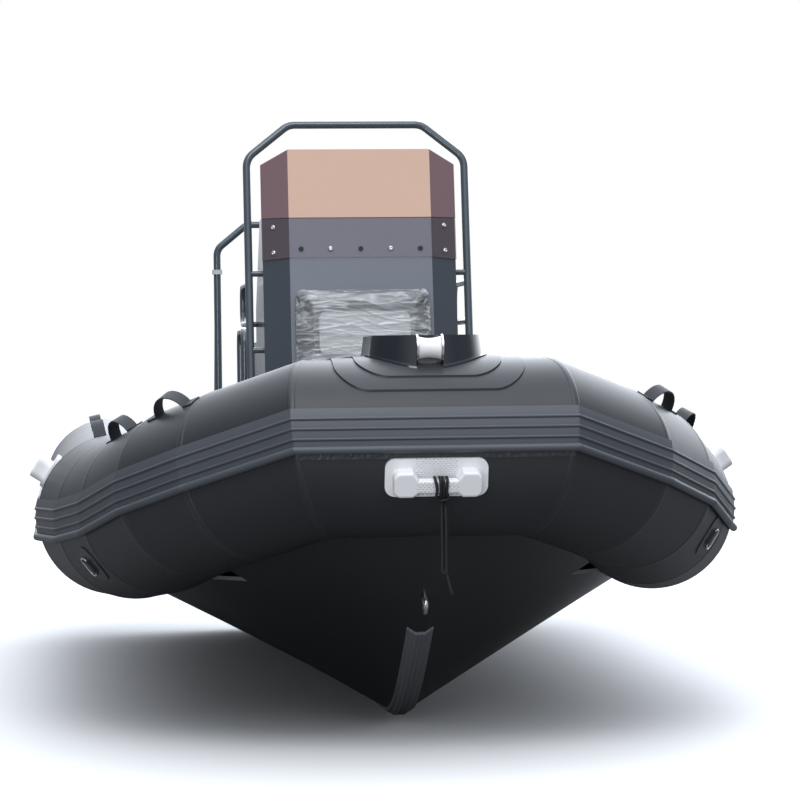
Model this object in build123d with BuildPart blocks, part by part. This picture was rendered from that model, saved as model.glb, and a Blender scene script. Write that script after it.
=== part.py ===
from build123d import *
from math import atan2, cos, degrees, hypot, pi, radians, sin, tan
import os

os.makedirs("parts", exist_ok=True)

# Frame: origin on the centreline amidships at the waterline, +Y aft, +X port, +Z up.

# Collar: the bow bar, five short gores on each quarter and the straight side tubes
tube_radius = 240.0
bow_axis_y = -2160.0
bow_axis_z = 510.0
bow_half_length = 295.0
side_x = 815.0
side_z = 295.0
side_start_y = -1130.0
side_break_y = 200.0
cone_start_y = 1850.0
cone_length = 550.0
cone_tip_radius = 70.0
cone_nose_length = 45.0
overrun = 400.0
gore_columns = ("out_share", "aft_share", "rise_share")
gore_shares = (
    (0.375, 0.136, 0.679),
    (0.615, 0.306, 0.433),
    (0.779, 0.524, 0.163),
    (0.904, 0.748, 0.028),
)

# Rub strake, by angle round the tube from its outboard side
strake_bow_turn = 7.5
strake_top_angle = 19.8
strake_bead_angle = -6.7
strake_thickness = 7.0
strake_rib_angles = (0.0, 6.4, 12.8)
strake_rib_radius = 4.5
strake_bead_radius = 11.0
band_bottom_angle = -12.5
band_thickness = 3.0

# Hull: a deep V drawn by shares of its length, depth and half width
stem_y = -2230.0
transom_overhang = 50.0
keel_z = -305.0
hull_depth = 650.0
hull_half_width = 765.0
keel_half_width = 13.0
hull_sections = 18
station_crowding = 1.3
station_columns = ("y", "keel_z", "chine_x", "chine_z", "rim_x", "rim_z")
station_shares = (
    (0.000, 0.915, 0.078, 0.931, 0.098, 1.000),
    (0.037, 0.589, 0.431, 0.918, 0.451, 1.008),
    (0.065, 0.449, 0.562, 0.862, 0.588, 0.962),
    (0.128, 0.200, 0.732, 0.734, 0.752, 0.823),
    (0.190, 0.025, 0.837, 0.631, 0.850, 0.715),
    (0.370, 0.000, 0.987, 0.578, 1.000, 0.715),
    (0.564, 0.000, 0.961, 0.508, 1.000, 0.715),
    (1.000, 0.000, 0.961, 0.446, 1.000, 0.715),
)
guard_half_width = 37.0
guard_thickness = 8.0
guard_start_y = -1975.0
guard_end_y = 1500.0

# Deck, transom and cockpit
deck_z = 130.0
deck_thickness = 12.0
deck_front_y = -1740.0
transom_thickness = 50.0
transom_top_z = 255.0
transom_shoulder_z = 400.0
transom_notch_half_width = 330.0
transom_half_width = 620.0
pad_thickness = 15.0
pad_half_width = 190.0
pad_bottom_z = -130.0

# Bow step and roller, placed from the bow tube's axis and crown
step_top_half_width = 145.0
step_reach = 109.0
step_arc_depth = 95.0
step_length = 329.0
step_rise = 64.0
step_draft = 7.6
step_flange = 12.0
step_flange_thickness = 4.0
patch_half_widths = (257.0, 198.0)
patch_angles = (41.0, 52.0)
patch_corner = 90.0
patch_thickness = 4.5
roller_radius = 31.0
roller_waist_radius = 26.0
roller_width = 60.0
roller_reach = 102.0
roller_rise = 29.0
roller_side_gap = 1.0
roller_pin_radius = 6.0
pin_clearance = 0.06
cheek_radius = 37.0
cheek_thickness = 5.0

# Lifting handles: a plate with a dog-bone grip
handle_plate_length = 273.0
handle_plate_height = 104.0
handle_plate_thickness = 7.0
handle_plate_corner = 28.0
handle_angle = -17.0
grip_half_length = 117.0
grip_end_height = 68.0
grip_end_drop = 8.0
grip_end_corner = 20.0
grip_bar_height = 36.0
grip_bar_drop = 13.0
grip_neck_half_widths = (51.0, 66.0)
grip_reach = 50.0
grip_tunnel = 20.0
grip_edge = 7.0
side_handle_share = 0.044
side_handle_angle = 33.0

# D-rings on round patches
ring_patch_radius = 62.0
ring_patch_thickness = 3.0
ring_wire_radius = 2.75
ring_half_width = 31.0
ring_depth = 38.0
ring_corner = 14.0
ring_tab_width = 44.0
ring_tab_length = 20.0
ring_port_share = 3.64
ring_port_angle = -30.0
ring_starboard_share = 4.30
ring_starboard_angle = -38.0

# Strap handles: each place is the collar length and the share along it
strap_width = 38.0
strap_thickness = 4.0
strap_rise = 45.0
strap_half_length = 62.0
strap_foot_length = 40.0
strap_shares = (2.45, 3.75, 6.06, 6.42)
strap_angles = (60.0, 62.0, 78.0, 78.0)

# Hinges of the lids and the door
hinge_barrel_radius = 6.0
hinge_pin_radius = 3.0
hinge_half_length = 30.0
hinge_room = 14.0
hinge_end_gap = 0.5
hinge_spread = 110.0

# Bow locker
locker_top_z = 400.0
locker_plan = ((220.0, -1950.0), (375.0, -1790.0), (530.0, -1560.0), (580.0, -1420.0))
locker_lid_width = 444.0
locker_lid_depth = 324.0
locker_lid_y = -1600.0
locker_wall = 12.0
lid_gap = 6.0
lid_thickness = 16.0

# Console
console_half_width = 320.0
console_front_half_width = 235.0
console_facet_set_back = 52.0
console_front_y = -537.0
console_rake = 0.15
console_sill_z = 1092.0
console_hood_z = 1225.0
console_hood_back_y = -200.0
console_dash_z = 930.0
console_back_y = 60.0
console_wall = 8.0
door_half_width = 190.0
door_bottom_z = 260.0
door_top_z = 740.0
door_thickness = 12.0
screen_thickness = 5.0
screen_top_z = 1450.0
screen_facet_top_z = 1401.0

# Hoop and rails
pipe_radius = 13.0
rail_radius = 11.0
rung_radius = 10.0
hoop_half_width = 364.0
hoop_corner_z = 1428.0
hoop_top_z = 1541.0
hoop_top_half_length = 222.0
hoop_set_back = 100.0
hoop_bend = 60.0
rung_zs = (1044.0, 791.0)
rail_back_y = 57.0
rail_top_z = 1012.0
rail_bottom_z = 882.0
rail_stub_y = 10.0
rail_bend = 50.0
foot_radius = 30.0
foot_thickness = 8.0

# Helm
wheel_radius = 165.0
wheel_rim_radius = 13.0
wheel_place_share = 0.68
wheel_stand_off = 95.0
helm_radius = 45.0
shaft_radius = 10.0
wheel_hub_radius = 34.0
wheel_hub_height = 34.0
wheel_spokes = 3
wheel_spoke_width = 22.0
wheel_spoke_thickness = 9.0

# Seats
front_seat_front_y = -960.0
front_seat_half_width = 228.0
front_seat_top_z = 540.0
seat_wall = 10.0
seat_lid_thickness = 16.0
front_cushion_thickness = 60.0
backrest_thickness = 65.0
backrest_half_width = 227.0
backrest_bottom_z = 690.0
backrest_top_z = 995.0
driver_front_y = 640.0
driver_back_y = 1080.0
driver_half_width = 273.0
driver_top_z = 812.0
driver_cushion_thickness = 85.0
driver_backrest_top_z = 1120.0
driver_backrest_thickness = 70.0
driver_rail_x = 321.0
driver_rail_front_y = 760.0
driver_rail_back_y = 1040.0
driver_rail_top_z = 870.0
cushion_corner = 22.0
cushion_edge = 16.0
seat_gap = 8.0

# Stern arch
arch_y = 1540.0
arch_half_width = 380.0
arch_corner_z = 1200.0
arch_top_z = 1296.0
arch_top_half_length = 263.0
arch_radius = 14.0
arch_bend = 50.0
arch_collar_z = 1111.0
arch_collar_radius = 20.0
arch_collar_height = 18.0
brace_y = 1790.0
brace_z = 900.0

# Eyes, valves and drain
eye_wire_radius = 6.0
eye_half_width = 22.0
eye_reach = 34.0
eye_foot_depth = 12.0
bow_eye_z = 92.0
stern_eye_x = 430.0
stern_eye_z = 60.0
valve_radius = 32.0
valve_height = 7.0
valve_shares = (0.11, 0.68)
drain_radius = 35.0
drain_bore_radius = 17.0
drain_thickness = 8.0
drain_x = 260.0
drain_z = 165.0

# Painter: turns round the grip, a hank of two strands and a loose tail
cord_radius = 4.0
loops_width = 42.0
loops_gap = 0.4
hank_width = 18.0
hank_depth = 10.0
hank_length = 205.0
hank_top_x = 6.0
hank_bottom_x = 21.0
tail_drop = 54.0
tail_end_x = 36.0
tail_bend_share = 0.4

nodes = {}


def keep(name, body):
    """Store one finished piece under its name."""
    nodes[name] = body


def polygon(points):
    """Closed face through the points, in the open sketch."""
    with BuildLine() as outline:
        Polyline(*points, close=True)
    make_face(outline.edges())


# Collar corners between mitres
collar = [Vector(-bow_half_length, bow_axis_y, bow_axis_z), Vector(bow_half_length, bow_axis_y, bow_axis_z)]
for row in gore_shares:
    gore = dict(zip(gore_columns, row))
    collar.append(Vector(
        bow_half_length + gore["out_share"] * (side_x - bow_half_length),
        bow_axis_y + gore["aft_share"] * (side_start_y - bow_axis_y),
        side_z + gore["rise_share"] * (bow_axis_z - side_z),
    ))
collar += [Vector(side_x, side_start_y, side_z), Vector(side_x, cone_start_y, side_z)]
runs = [(b - a).normalized() for a, b in zip(collar, collar[1:])]
side_run = len(runs) - 1


def frame_of(run):
    """Outboard and upward directions across a collar length."""
    side = run.cross(Vector(0, 0, 1)).normalized()
    return side, side.cross(run).normalized()


def carried_sides(turn):
    """Outboard direction on each length, carried round the mitres without a twist."""
    side, up = frame_of(runs[0])
    sides = [side * cos(radians(turn)) + up * sin(radians(turn))]
    for before, after in zip(runs, runs[1:]):
        fold = Axis((0, 0, 0), before.cross(after))
        sides.append(sides[-1].rotate(fold, before.get_angle(after)))
    return sides


strake_sides = carried_sides(strake_bow_turn)


def mitre(index):
    """Plane of the joint before the length of this index, facing along the collar."""
    if index == len(runs):
        return Plane(origin=collar[-1], x_dir=(1, 0, 0), z_dir=runs[-1])
    if index == 0:
        along = (runs[0] + runs[1]).normalized()
        return Plane(origin=collar[0], z_dir=(along.X, -along.Y, -along.Z))
    return Plane(origin=collar[index], z_dir=(runs[index - 1] + runs[index]).normalized())


def length_of(index, draw):
    """One straight length of the collar's section between its two mitres."""
    reach = (collar[index + 1] - collar[index]).length
    start = collar[index + 1] + runs[index] * overrun
    with BuildPart() as length:
        with BuildSketch(Plane(origin=start, x_dir=strake_sides[index], z_dir=-runs[index])):
            draw()
        extrude(amount=reach + 2 * overrun)
        split(bisect_by=mitre(index), keep=Keep.TOP)
        split(bisect_by=mitre(index + 1), keep=Keep.BOTTOM)
    return length.part


def joined(bodies):
    """Several bodies as one piece."""
    with BuildPart() as whole:
        for body in bodies:
            add(body)
    return whole.part


def mirrored(body):
    """The starboard twin of a port piece."""
    with BuildPart() as twin:
        mirror(body, about=Plane.YZ)
    return twin.part


def both_sides(body):
    """A port piece and its starboard twin as one node."""
    return joined([body, mirrored(body)])


def without(body, *others):
    """A piece with the volume of others taken out of it."""
    with BuildPart() as rest:
        add(body)
        for other in others:
            add(other, mode=Mode.SUBTRACT)
    return rest.part


def tube_section():
    Circle(tube_radius)


def on_tube(angle, radius):
    """Point of the cross section at an angle up from the outboard side."""
    return (radius * cos(radians(angle)), radius * sin(radians(angle)))


def strake_section():
    """Band with ribs and a bead, wrapped on the tube."""
    outer = tube_radius + strake_thickness
    low, high = strake_bead_angle, strake_top_angle
    middle = (low + high) / 2
    with BuildLine() as outline:
        Line(on_tube(low, tube_radius), on_tube(low, outer))
        ThreePointArc(on_tube(low, outer), on_tube(middle, outer), on_tube(high, outer))
        Line(on_tube(high, outer), on_tube(high, tube_radius))
        ThreePointArc(on_tube(high, tube_radius), on_tube(middle, tube_radius), on_tube(low, tube_radius))
    make_face(outline.edges())
    with Locations(*[on_tube(angle, outer) for angle in strake_rib_angles]):
        Circle(strake_rib_radius)
    with Locations(on_tube(low, tube_radius + strake_bead_radius)):
        Circle(strake_bead_radius)


def band_section():
    """Thin bonding band under the bead."""
    outer = tube_radius + band_thickness
    low = band_bottom_angle
    high = strake_bead_angle - degrees(strake_bead_radius / tube_radius)
    middle = (low + high) / 2
    with BuildLine() as outline:
        Line(on_tube(low, tube_radius), on_tube(low, outer))
        ThreePointArc(on_tube(low, outer), on_tube(middle, outer), on_tube(high, outer))
        Line(on_tube(high, outer), on_tube(high, tube_radius))
        ThreePointArc(on_tube(high, tube_radius), on_tube(middle, tube_radius), on_tube(low, tube_radius))
    make_face(outline.edges())


quarter = range(1, side_run)
tube_bow = length_of(0, tube_section)
tube_forward = joined([length_of(index, tube_section) for index in quarter])
side_tube = length_of(side_run, tube_section)
side_joint = Plane(origin=(0, side_break_y, 0), z_dir=(0, 1, 0))
with BuildPart() as tube_middle:
    add(side_tube)
    split(bisect_by=side_joint, keep=Keep.BOTTOM)
with BuildPart() as tube_aft:
    add(side_tube)
    split(bisect_by=side_joint, keep=Keep.TOP)

with BuildPart() as cone:
    with BuildSketch(Plane(origin=(side_x, cone_start_y, side_z), x_dir=(1, 0, 0), z_dir=(0, 0, 1))):
        with BuildLine():
            Line((0, 0), (tube_radius, 0))
            Line((tube_radius, 0), (cone_tip_radius, cone_length - cone_nose_length))
            ThreePointArc(
                (cone_tip_radius, cone_length - cone_nose_length),
                (
                    cone_tip_radius - cone_nose_length * (1 - cos(pi / 4)),
                    cone_length - cone_nose_length * (1 - sin(pi / 4)),
                ),
                (cone_tip_radius - cone_nose_length, cone_length),
            )
            Line((cone_tip_radius - cone_nose_length, cone_length), (0, cone_length))
            Line((0, cone_length), (0, 0))
        make_face()
    revolve(axis=Axis((side_x, cone_start_y, side_z), (0, 1, 0)))

collar_port = [tube_forward, tube_middle.part, tube_aft.part, cone.part]
collar_bodies = [tube_bow] + collar_port + [mirrored(body) for body in collar_port]
keep("tube_bow", tube_bow)
for name, body in zip(("forward", "middle", "aft"), collar_port):
    keep(f"tube_port_{name}", body)
    keep(f"tube_starboard_{name}", mirrored(body))
keep("cone_port", cone.part)
keep("cone_starboard", mirrored(cone.part))

strake_port = joined([length_of(index, strake_section) for index in range(1, side_run + 1)])
keep("strake_bow", length_of(0, strake_section))
keep("strake_port", strake_port)
keep("strake_starboard", mirrored(strake_port))
keep("bonding_band", length_of(0, band_section))


# Hull
def station_plane(y):
    """Upright plane across the boat: its x is to port and its y is up."""
    return Plane(origin=(0, y, 0), x_dir=(1, 0, 0), z_dir=(0, -1, 0))


transom_y = cone_start_y + transom_overhang
hull_origins = dict(y=stem_y, keel_z=keel_z, chine_x=0.0, chine_z=keel_z, rim_x=0.0, rim_z=keel_z)
hull_spans = dict(
    y=transom_y - stem_y, keel_z=hull_depth, chine_x=hull_half_width,
    chine_z=hull_depth, rim_x=hull_half_width, rim_z=hull_depth,
)
rows = [
    {key: hull_origins[key] + share * hull_spans[key] for key, share in zip(station_columns, row)}
    for row in station_shares
]


def fair(column, y):
    """Height or half width at a distance aft, on a curve through the stations that never overshoots."""
    places = [row["y"] for row in rows]
    values = [row[column] for row in rows]
    steps = [b - a for a, b in zip(places, places[1:])]
    slopes = [(b - a) / step for a, b, step in zip(values, values[1:], steps)]
    tangents = [slopes[0]]
    for before, after, left, right in zip(slopes, slopes[1:], steps, steps[1:]):
        near, far = 2 * right + left, right + 2 * left
        turns_back = before * after <= 0
        tangents.append(0.0 if turns_back else (near + far) / (near / before + far / after))
    tangents.append(slopes[-1])
    span = max(index for index, place in enumerate(places[:-1]) if place <= y)
    t = (y - places[span]) / steps[span]
    return (
        values[span] * (1 + 2 * t) * (1 - t) ** 2
        + values[span + 1] * t ** 2 * (3 - 2 * t)
        + tangents[span] * steps[span] * t * (1 - t) ** 2
        - tangents[span + 1] * steps[span] * t ** 2 * (1 - t)
    )


def hull_section(station):
    """Closed V section with a narrow keel, a chine and a rim hidden in the collar."""
    with BuildSketch(station_plane(station["y"])) as section:
        polygon([
            (-keel_half_width, station["keel_z"]),
            (keel_half_width, station["keel_z"]),
            (station["chine_x"], station["chine_z"]),
            (station["rim_x"], station["rim_z"]),
            (-station["rim_x"], station["rim_z"]),
            (-station["chine_x"], station["chine_z"]),
        ])
    return section.sketch


def guard_section(station):
    """Strip folded round the keel, reaching up into the hull."""
    rise = (station["chine_z"] - station["keel_z"]) / (station["chine_x"] - keel_half_width)
    edge_z = station["keel_z"] + rise * (guard_half_width - keel_half_width)
    with BuildSketch(station_plane(station["y"])) as section:
        polygon([
            (-keel_half_width, station["keel_z"] - guard_thickness),
            (keel_half_width, station["keel_z"] - guard_thickness),
            (guard_half_width, edge_z - guard_thickness),
            (guard_half_width, edge_z + guard_thickness),
            (-guard_half_width, edge_z + guard_thickness),
            (-guard_half_width, edge_z - guard_thickness),
        ])
    return section.sketch


station_steps = [index / (hull_sections - 1) for index in range(hull_sections)]
station_ys = [stem_y + (transom_y - stem_y) * step ** station_crowding for step in station_steps]
stations = [{column: fair(column, y) for column in station_columns[1:]} | {"y": y} for y in station_ys]
with BuildPart() as hull_solid:
    loft(sections=[hull_section(station) for station in stations])
with BuildPart() as cockpit_room:
    with BuildSketch(Plane.XY.offset(deck_z)):
        with Locations((0, (deck_front_y + transom_y + overrun) / 2)):
            Rectangle(2 * side_x, transom_y + overrun - deck_front_y)
    extrude(amount=overrun)
keep("hull", without(hull_solid.part, cockpit_room.part, *collar_bodies))

with BuildPart() as guard_solid:
    loft(sections=[guard_section(station) for station in stations])
    split(bisect_by=Plane(origin=(0, guard_start_y, 0), z_dir=(0, 1, 0)), keep=Keep.TOP)
    split(bisect_by=Plane(origin=(0, guard_end_y, 0), z_dir=(0, 1, 0)), keep=Keep.BOTTOM)
keep("keel_guard", without(guard_solid.part, hull_solid.part))

# Transom, standing on the hull between the tubes
notch_slope = (transom_shoulder_z - transom_top_z) / 2
with BuildPart() as transom:
    with BuildSketch(station_plane(transom_y)):
        polygon([
            (-transom_half_width, deck_z),
            (transom_half_width, deck_z),
            (transom_half_width, transom_shoulder_z),
            (transom_notch_half_width + notch_slope, transom_shoulder_z),
            (transom_notch_half_width, transom_top_z),
            (-transom_notch_half_width, transom_top_z),
            (-transom_notch_half_width - notch_slope, transom_shoulder_z),
            (-transom_half_width, transom_shoulder_z),
        ])
    extrude(amount=transom_thickness)
transom_body = without(transom.part, *collar_bodies)
keep("transom", transom_body)
with BuildPart() as pad:
    with BuildSketch(station_plane(transom_y)):
        polygon([
            (-pad_half_width, transom_top_z),
            (pad_half_width, transom_top_z),
            (pad_half_width * 4 / 5, pad_bottom_z),
            (-pad_half_width * 4 / 5, pad_bottom_z),
        ])
    extrude(amount=-pad_thickness)
keep("transom_pad", pad.part)

# Deck: the hull's own plan, one plate thick
with BuildPart() as deck_solid:
    add(hull_solid.part)
    with BuildSketch(Plane.XY.offset(deck_z)):
        with Locations((0, (deck_front_y + transom_y - transom_thickness) / 2)):
            Rectangle(2 * side_x, transom_y - transom_thickness - deck_front_y)
    extrude(amount=deck_thickness, mode=Mode.INTERSECT)
deck = without(deck_solid.part, *collar_bodies)
keep("deck", deck)
floor_z = deck_z + deck_thickness


# Hinges
def hinge(plane, base_reach, lid_reach):
    """Pin with two end knuckles, and the middle knuckle that turns on it.

    The plane's origin is on the pin and its z along it; the base lies below and the lid beyond it.
    """
    third = 2 * hinge_half_length / 3
    with BuildPart() as base:
        for start in (-hinge_half_length, third / 2):
            with BuildSketch(plane.offset(start)):
                Circle(hinge_barrel_radius)
                with Locations((0, -base_reach / 2)):
                    Rectangle(2 * hinge_barrel_radius, base_reach)
            extrude(amount=hinge_half_length - third / 2)
        with BuildSketch(plane.offset(-hinge_half_length)):
            Circle(hinge_pin_radius)
        extrude(amount=2 * hinge_half_length)
    with BuildPart() as knuckle:
        with BuildSketch(plane.offset(-third / 2 + hinge_end_gap)):
            Circle(hinge_barrel_radius)
            with Locations((lid_reach / 2, 0)):
                Rectangle(lid_reach, hinge_barrel_radius)
            Circle(hinge_pin_radius + pin_clearance, mode=Mode.SUBTRACT)
        extrude(amount=third - 2 * hinge_end_gap)
    return base.part, knuckle.part


def hinges_across(y, z, base_reach):
    """Two hinges across the boat, with the base under them and the lid aft of them."""
    pairs = [
        hinge(Plane(origin=(x, y, z), x_dir=(0, 1, 0), z_dir=(1, 0, 0)), base_reach, hinge_room)
        for x in (-hinge_spread, hinge_spread)
    ]
    return [pair[0] for pair in pairs], [pair[1] for pair in pairs]


def lid_plate(y, z, width, depth, thickness):
    """Flat lid with rounded corners, by the middle of its underside."""
    with BuildPart() as lid:
        with BuildSketch(Plane.XY.offset(z)):
            with Locations((0, y)):
                RectangleRounded(width, depth, 3 * lid_gap)
        extrude(amount=thickness)
    return lid.part


# Bow locker
with BuildPart() as locker_solid:
    with BuildSketch(Plane.XY.offset(floor_z)):
        polygon(list(locker_plan) + [(-x, y) for x, y in reversed(locker_plan)])
    extrude(amount=locker_top_z - floor_z)
    with BuildSketch(Plane.XY.offset(locker_top_z)):
        with Locations((0, locker_lid_y)):
            Rectangle(locker_lid_width - 4 * lid_gap, locker_lid_depth - 4 * lid_gap)
    extrude(amount=-(locker_top_z - floor_z - locker_wall), mode=Mode.SUBTRACT)
locker_pin_y = locker_lid_y - locker_lid_depth / 2 - hinge_room / 2
locker_bases, locker_knuckles = hinges_across(locker_pin_y, locker_top_z + lid_thickness / 2, lid_thickness / 2)
keep("bow_locker", joined([without(locker_solid.part, *collar_bodies, nodes["hull"])] + locker_bases))
keep("bow_locker_lid", joined([
    lid_plate(locker_lid_y, locker_top_z, locker_lid_width, locker_lid_depth, lid_thickness)
] + locker_knuckles))


# Console
def rake_y(z):
    """The raked front face at a height."""
    return console_front_y + console_rake * (z - deck_z)


console_profile = [
    (rake_y(floor_z), floor_z),
    (rake_y(console_hood_z), console_hood_z),
    (console_hood_back_y, console_hood_z),
    (console_back_y, console_dash_z),
    (console_back_y, floor_z),
]
rake_direction = Vector(0, console_rake, 1).normalized()


def console_solid(inset):
    """The console's outline set in by a wall, with its two front facets."""
    with BuildPart() as body:
        with BuildSketch(Plane.YZ):
            polygon(console_profile)
            if inset:
                offset(amount=-inset, kind=Kind.INTERSECTION, mode=Mode.REPLACE)
        extrude(amount=console_half_width - inset, both=True)
        base = Plane(origin=(0, rake_y(floor_z), floor_z), x_dir=(1, 0, 0), z_dir=rake_direction)
        facet = Vector(console_half_width - console_front_half_width, console_facet_set_back)
        normal = Vector(facet.Y, -facet.X).normalized() * inset
        with BuildSketch(base.offset(-overrun)):
            for side in (1, -1):
                inner = (side * (console_front_half_width - normal.X), -normal.Y)
                outer = (side * (console_half_width - normal.X), console_facet_set_back - normal.Y)
                slope = (outer[1] - inner[1]) / (outer[0] - inner[0])
                polygon([
                    (inner[0] - side * overrun, inner[1] - side * overrun * slope),
                    (outer[0] + side * overrun, outer[1] + side * overrun * slope),
                    (outer[0] + side * overrun, -overrun),
                    (inner[0] - side * overrun, -overrun - overrun),
                ])
        extrude(amount=console_hood_z + 2 * overrun, mode=Mode.SUBTRACT)
    return body.part


console_outer = console_solid(0)
door_middle_z = (door_bottom_z + door_top_z) / 2
door_height = door_top_z - door_bottom_z
back_plane = Plane(origin=(0, console_back_y, 0), x_dir=(1, 0, 0), z_dir=(0, -1, 0))
door_bases = []
door_knuckles = []
for z in (door_middle_z - hinge_spread, door_middle_z + hinge_spread):
    pin_place = (-door_half_width - hinge_room / 2, console_back_y + door_thickness / 2, z)
    base, knuckle = hinge(Plane(origin=pin_place, x_dir=(1, 0, 0), z_dir=(0, 0, 1)), door_thickness / 2, hinge_room)
    door_bases.append(base)
    door_knuckles.append(knuckle)
with BuildPart() as console:
    add(console_outer)
    add(console_solid(console_wall), mode=Mode.SUBTRACT)
    with BuildSketch(back_plane):
        with Locations((0, door_middle_z)):
            Rectangle(2 * (door_half_width - 3 * lid_gap), door_height - 6 * lid_gap)
    extrude(amount=2 * console_wall, mode=Mode.SUBTRACT)
keep("console", joined([console.part] + door_bases))
with BuildPart() as console_door:
    with BuildSketch(back_plane):
        with Locations((0, door_middle_z)):
            RectangleRounded(2 * door_half_width, door_height, 3 * lid_gap)
    extrude(amount=-door_thickness)
keep("console_door", joined([console_door.part] + door_knuckles))

# Windscreen: three flat panes standing against the console's front faces
sill = Plane(origin=(0, rake_y(console_sill_z), console_sill_z), x_dir=(1, 0, 0), z_dir=rake_direction)
screen_height = (screen_top_z - console_sill_z) / rake_direction.Z
facet_run = console_half_width - console_front_half_width
facet_angle = atan2(console_facet_set_back, facet_run)
screen_mitre = screen_thickness * tan(facet_angle / 2)
facet_out_x = screen_thickness * sin(facet_angle)
facet_out_y = screen_thickness * cos(facet_angle)
screen_plan = [
    (console_front_half_width, 0),
    (console_half_width, console_facet_set_back),
    (console_half_width + facet_out_x, console_facet_set_back - facet_out_y),
    (console_front_half_width + screen_mitre, -screen_thickness),
]
with BuildPart() as windscreen:
    with BuildSketch(sill):
        polygon(screen_plan + [(-x, y) for x, y in reversed(screen_plan)])
    extrude(amount=screen_height)
    with BuildSketch(Plane(origin=(0, console_front_y - overrun, 0), x_dir=(1, 0, 0), z_dir=(0, -1, 0))):
        for side in (1, -1):
            polygon([
                (side * console_front_half_width, screen_top_z),
                (side * (console_half_width + screen_thickness), screen_facet_top_z),
                (side * (console_half_width + screen_thickness), screen_top_z + overrun),
                (side * console_front_half_width, screen_top_z + overrun),
            ])
    extrude(amount=-4 * overrun, mode=Mode.SUBTRACT)
keep("windscreen", windscreen.part)


# Pipe work
def pipe(route, bends, radius):
    """Round bar along a route with bent corners."""
    with BuildPart() as bar:
        with BuildLine() as path:
            FilletPolyline(*route, radius=bends)
        with BuildSketch(Plane(origin=path.wire() @ 0, z_dir=path.wire() % 0)):
            Circle(radius)
        sweep(path=path.wire())
    return bar.part


def hoop_y(z):
    """The hoop's raked plane at a height."""
    return rake_y(z) + hoop_set_back


def foot(x, y):
    """Round deck flange under a leg."""
    with BuildPart() as flange:
        with BuildSketch(Plane.XY.offset(floor_z)):
            with Locations((x, y)):
                Circle(foot_radius)
        extrude(amount=foot_thickness)
    return flange.part


hoop_route = [
    (hoop_half_width, hoop_y(floor_z), floor_z),
    (hoop_half_width, hoop_y(hoop_corner_z), hoop_corner_z),
    (hoop_top_half_length, hoop_y(hoop_top_z), hoop_top_z),
    (-hoop_top_half_length, hoop_y(hoop_top_z), hoop_top_z),
    (-hoop_half_width, hoop_y(hoop_corner_z), hoop_corner_z),
    (-hoop_half_width, hoop_y(floor_z), floor_z),
]
rail_route = [
    (hoop_half_width, hoop_y(rail_top_z), rail_top_z),
    (hoop_half_width, rail_back_y, rail_top_z),
    (hoop_half_width, rail_back_y, rail_bottom_z),
    (hoop_half_width, hoop_y(rail_bottom_z), rail_bottom_z),
]


def rod(start, end, radius):
    """Straight round bar between two points."""
    reach = Vector(*end) - Vector(*start)
    with BuildPart() as bar:
        with BuildSketch(Plane(origin=start, z_dir=reach)):
            Circle(radius)
        extrude(amount=reach.length)
    return bar.part


stub_places = [(hoop_y(z), z) for z in rung_zs] + [(rail_stub_y, rail_bottom_z)]
stubs = [rod((console_half_width, y, z), (hoop_half_width, y, z), rung_radius) for y, z in stub_places]
hoop_side = joined([pipe(rail_route, rail_bend, rail_radius), foot(hoop_half_width, hoop_y(floor_z))] + stubs)
hoop = joined([pipe(hoop_route, hoop_bend, pipe_radius), hoop_side, mirrored(hoop_side)])
keep("console_hoop", without(hoop, console_outer, deck))

# Steering wheel on the sloping dash
dash_top = Vector(0, console_hood_back_y, console_hood_z)
dash_bottom = Vector(0, console_back_y, console_dash_z)
dash_middle = dash_top + (dash_bottom - dash_top) * wheel_place_share
dash = (dash_bottom - dash_top).normalized()
dash_normal = Vector(0, -dash.Z, dash.Y)
helm_plane = Plane(origin=dash_middle, x_dir=(1, 0, 0), z_dir=dash_normal)
hub_base = wheel_stand_off - wheel_hub_height / 2
with BuildPart() as helm:
    with BuildSketch(helm_plane):
        Circle(helm_radius)
    extrude(amount=hub_base / 2)
    with BuildSketch(helm_plane):
        Circle(shaft_radius)
    extrude(amount=wheel_stand_off)
keep("helm", helm.part)
with BuildPart() as steering_wheel:
    with BuildSketch(helm_plane.offset(hub_base)):
        Circle(wheel_hub_radius)
    extrude(amount=wheel_hub_height)
    with BuildSketch(helm_plane.offset(wheel_stand_off - wheel_spoke_thickness / 2)):
        with PolarLocations(0, wheel_spokes, start_angle=90):
            with Locations((wheel_radius / 2, 0)):
                Rectangle(wheel_radius, wheel_spoke_width)
    extrude(amount=wheel_spoke_thickness)
    with BuildSketch(Plane(origin=helm_plane.offset(wheel_stand_off).origin, x_dir=(1, 0, 0), z_dir=(0, dash_normal.Z, -dash_normal.Y))):
        with Locations((wheel_radius, 0)):
            Circle(wheel_rim_radius)
    revolve(axis=Axis(helm_plane.origin, dash_normal))
    with BuildSketch(helm_plane):
        Circle(shaft_radius + pin_clearance)
    extrude(amount=wheel_stand_off + pin_clearance, mode=Mode.SUBTRACT)
keep("steering_wheel", steering_wheel.part)


def cushion(plane, width, depth, thickness):
    """Padded block with rounded edges standing on a plane."""
    with BuildPart() as pad:
        with BuildSketch(plane):
            RectangleRounded(width, depth, cushion_corner)
        extrude(amount=thickness)
        fillet(pad.faces().sort_by(Axis(plane.origin, plane.z_dir))[-1].edges(), cushion_edge)
    return pad.part


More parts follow.
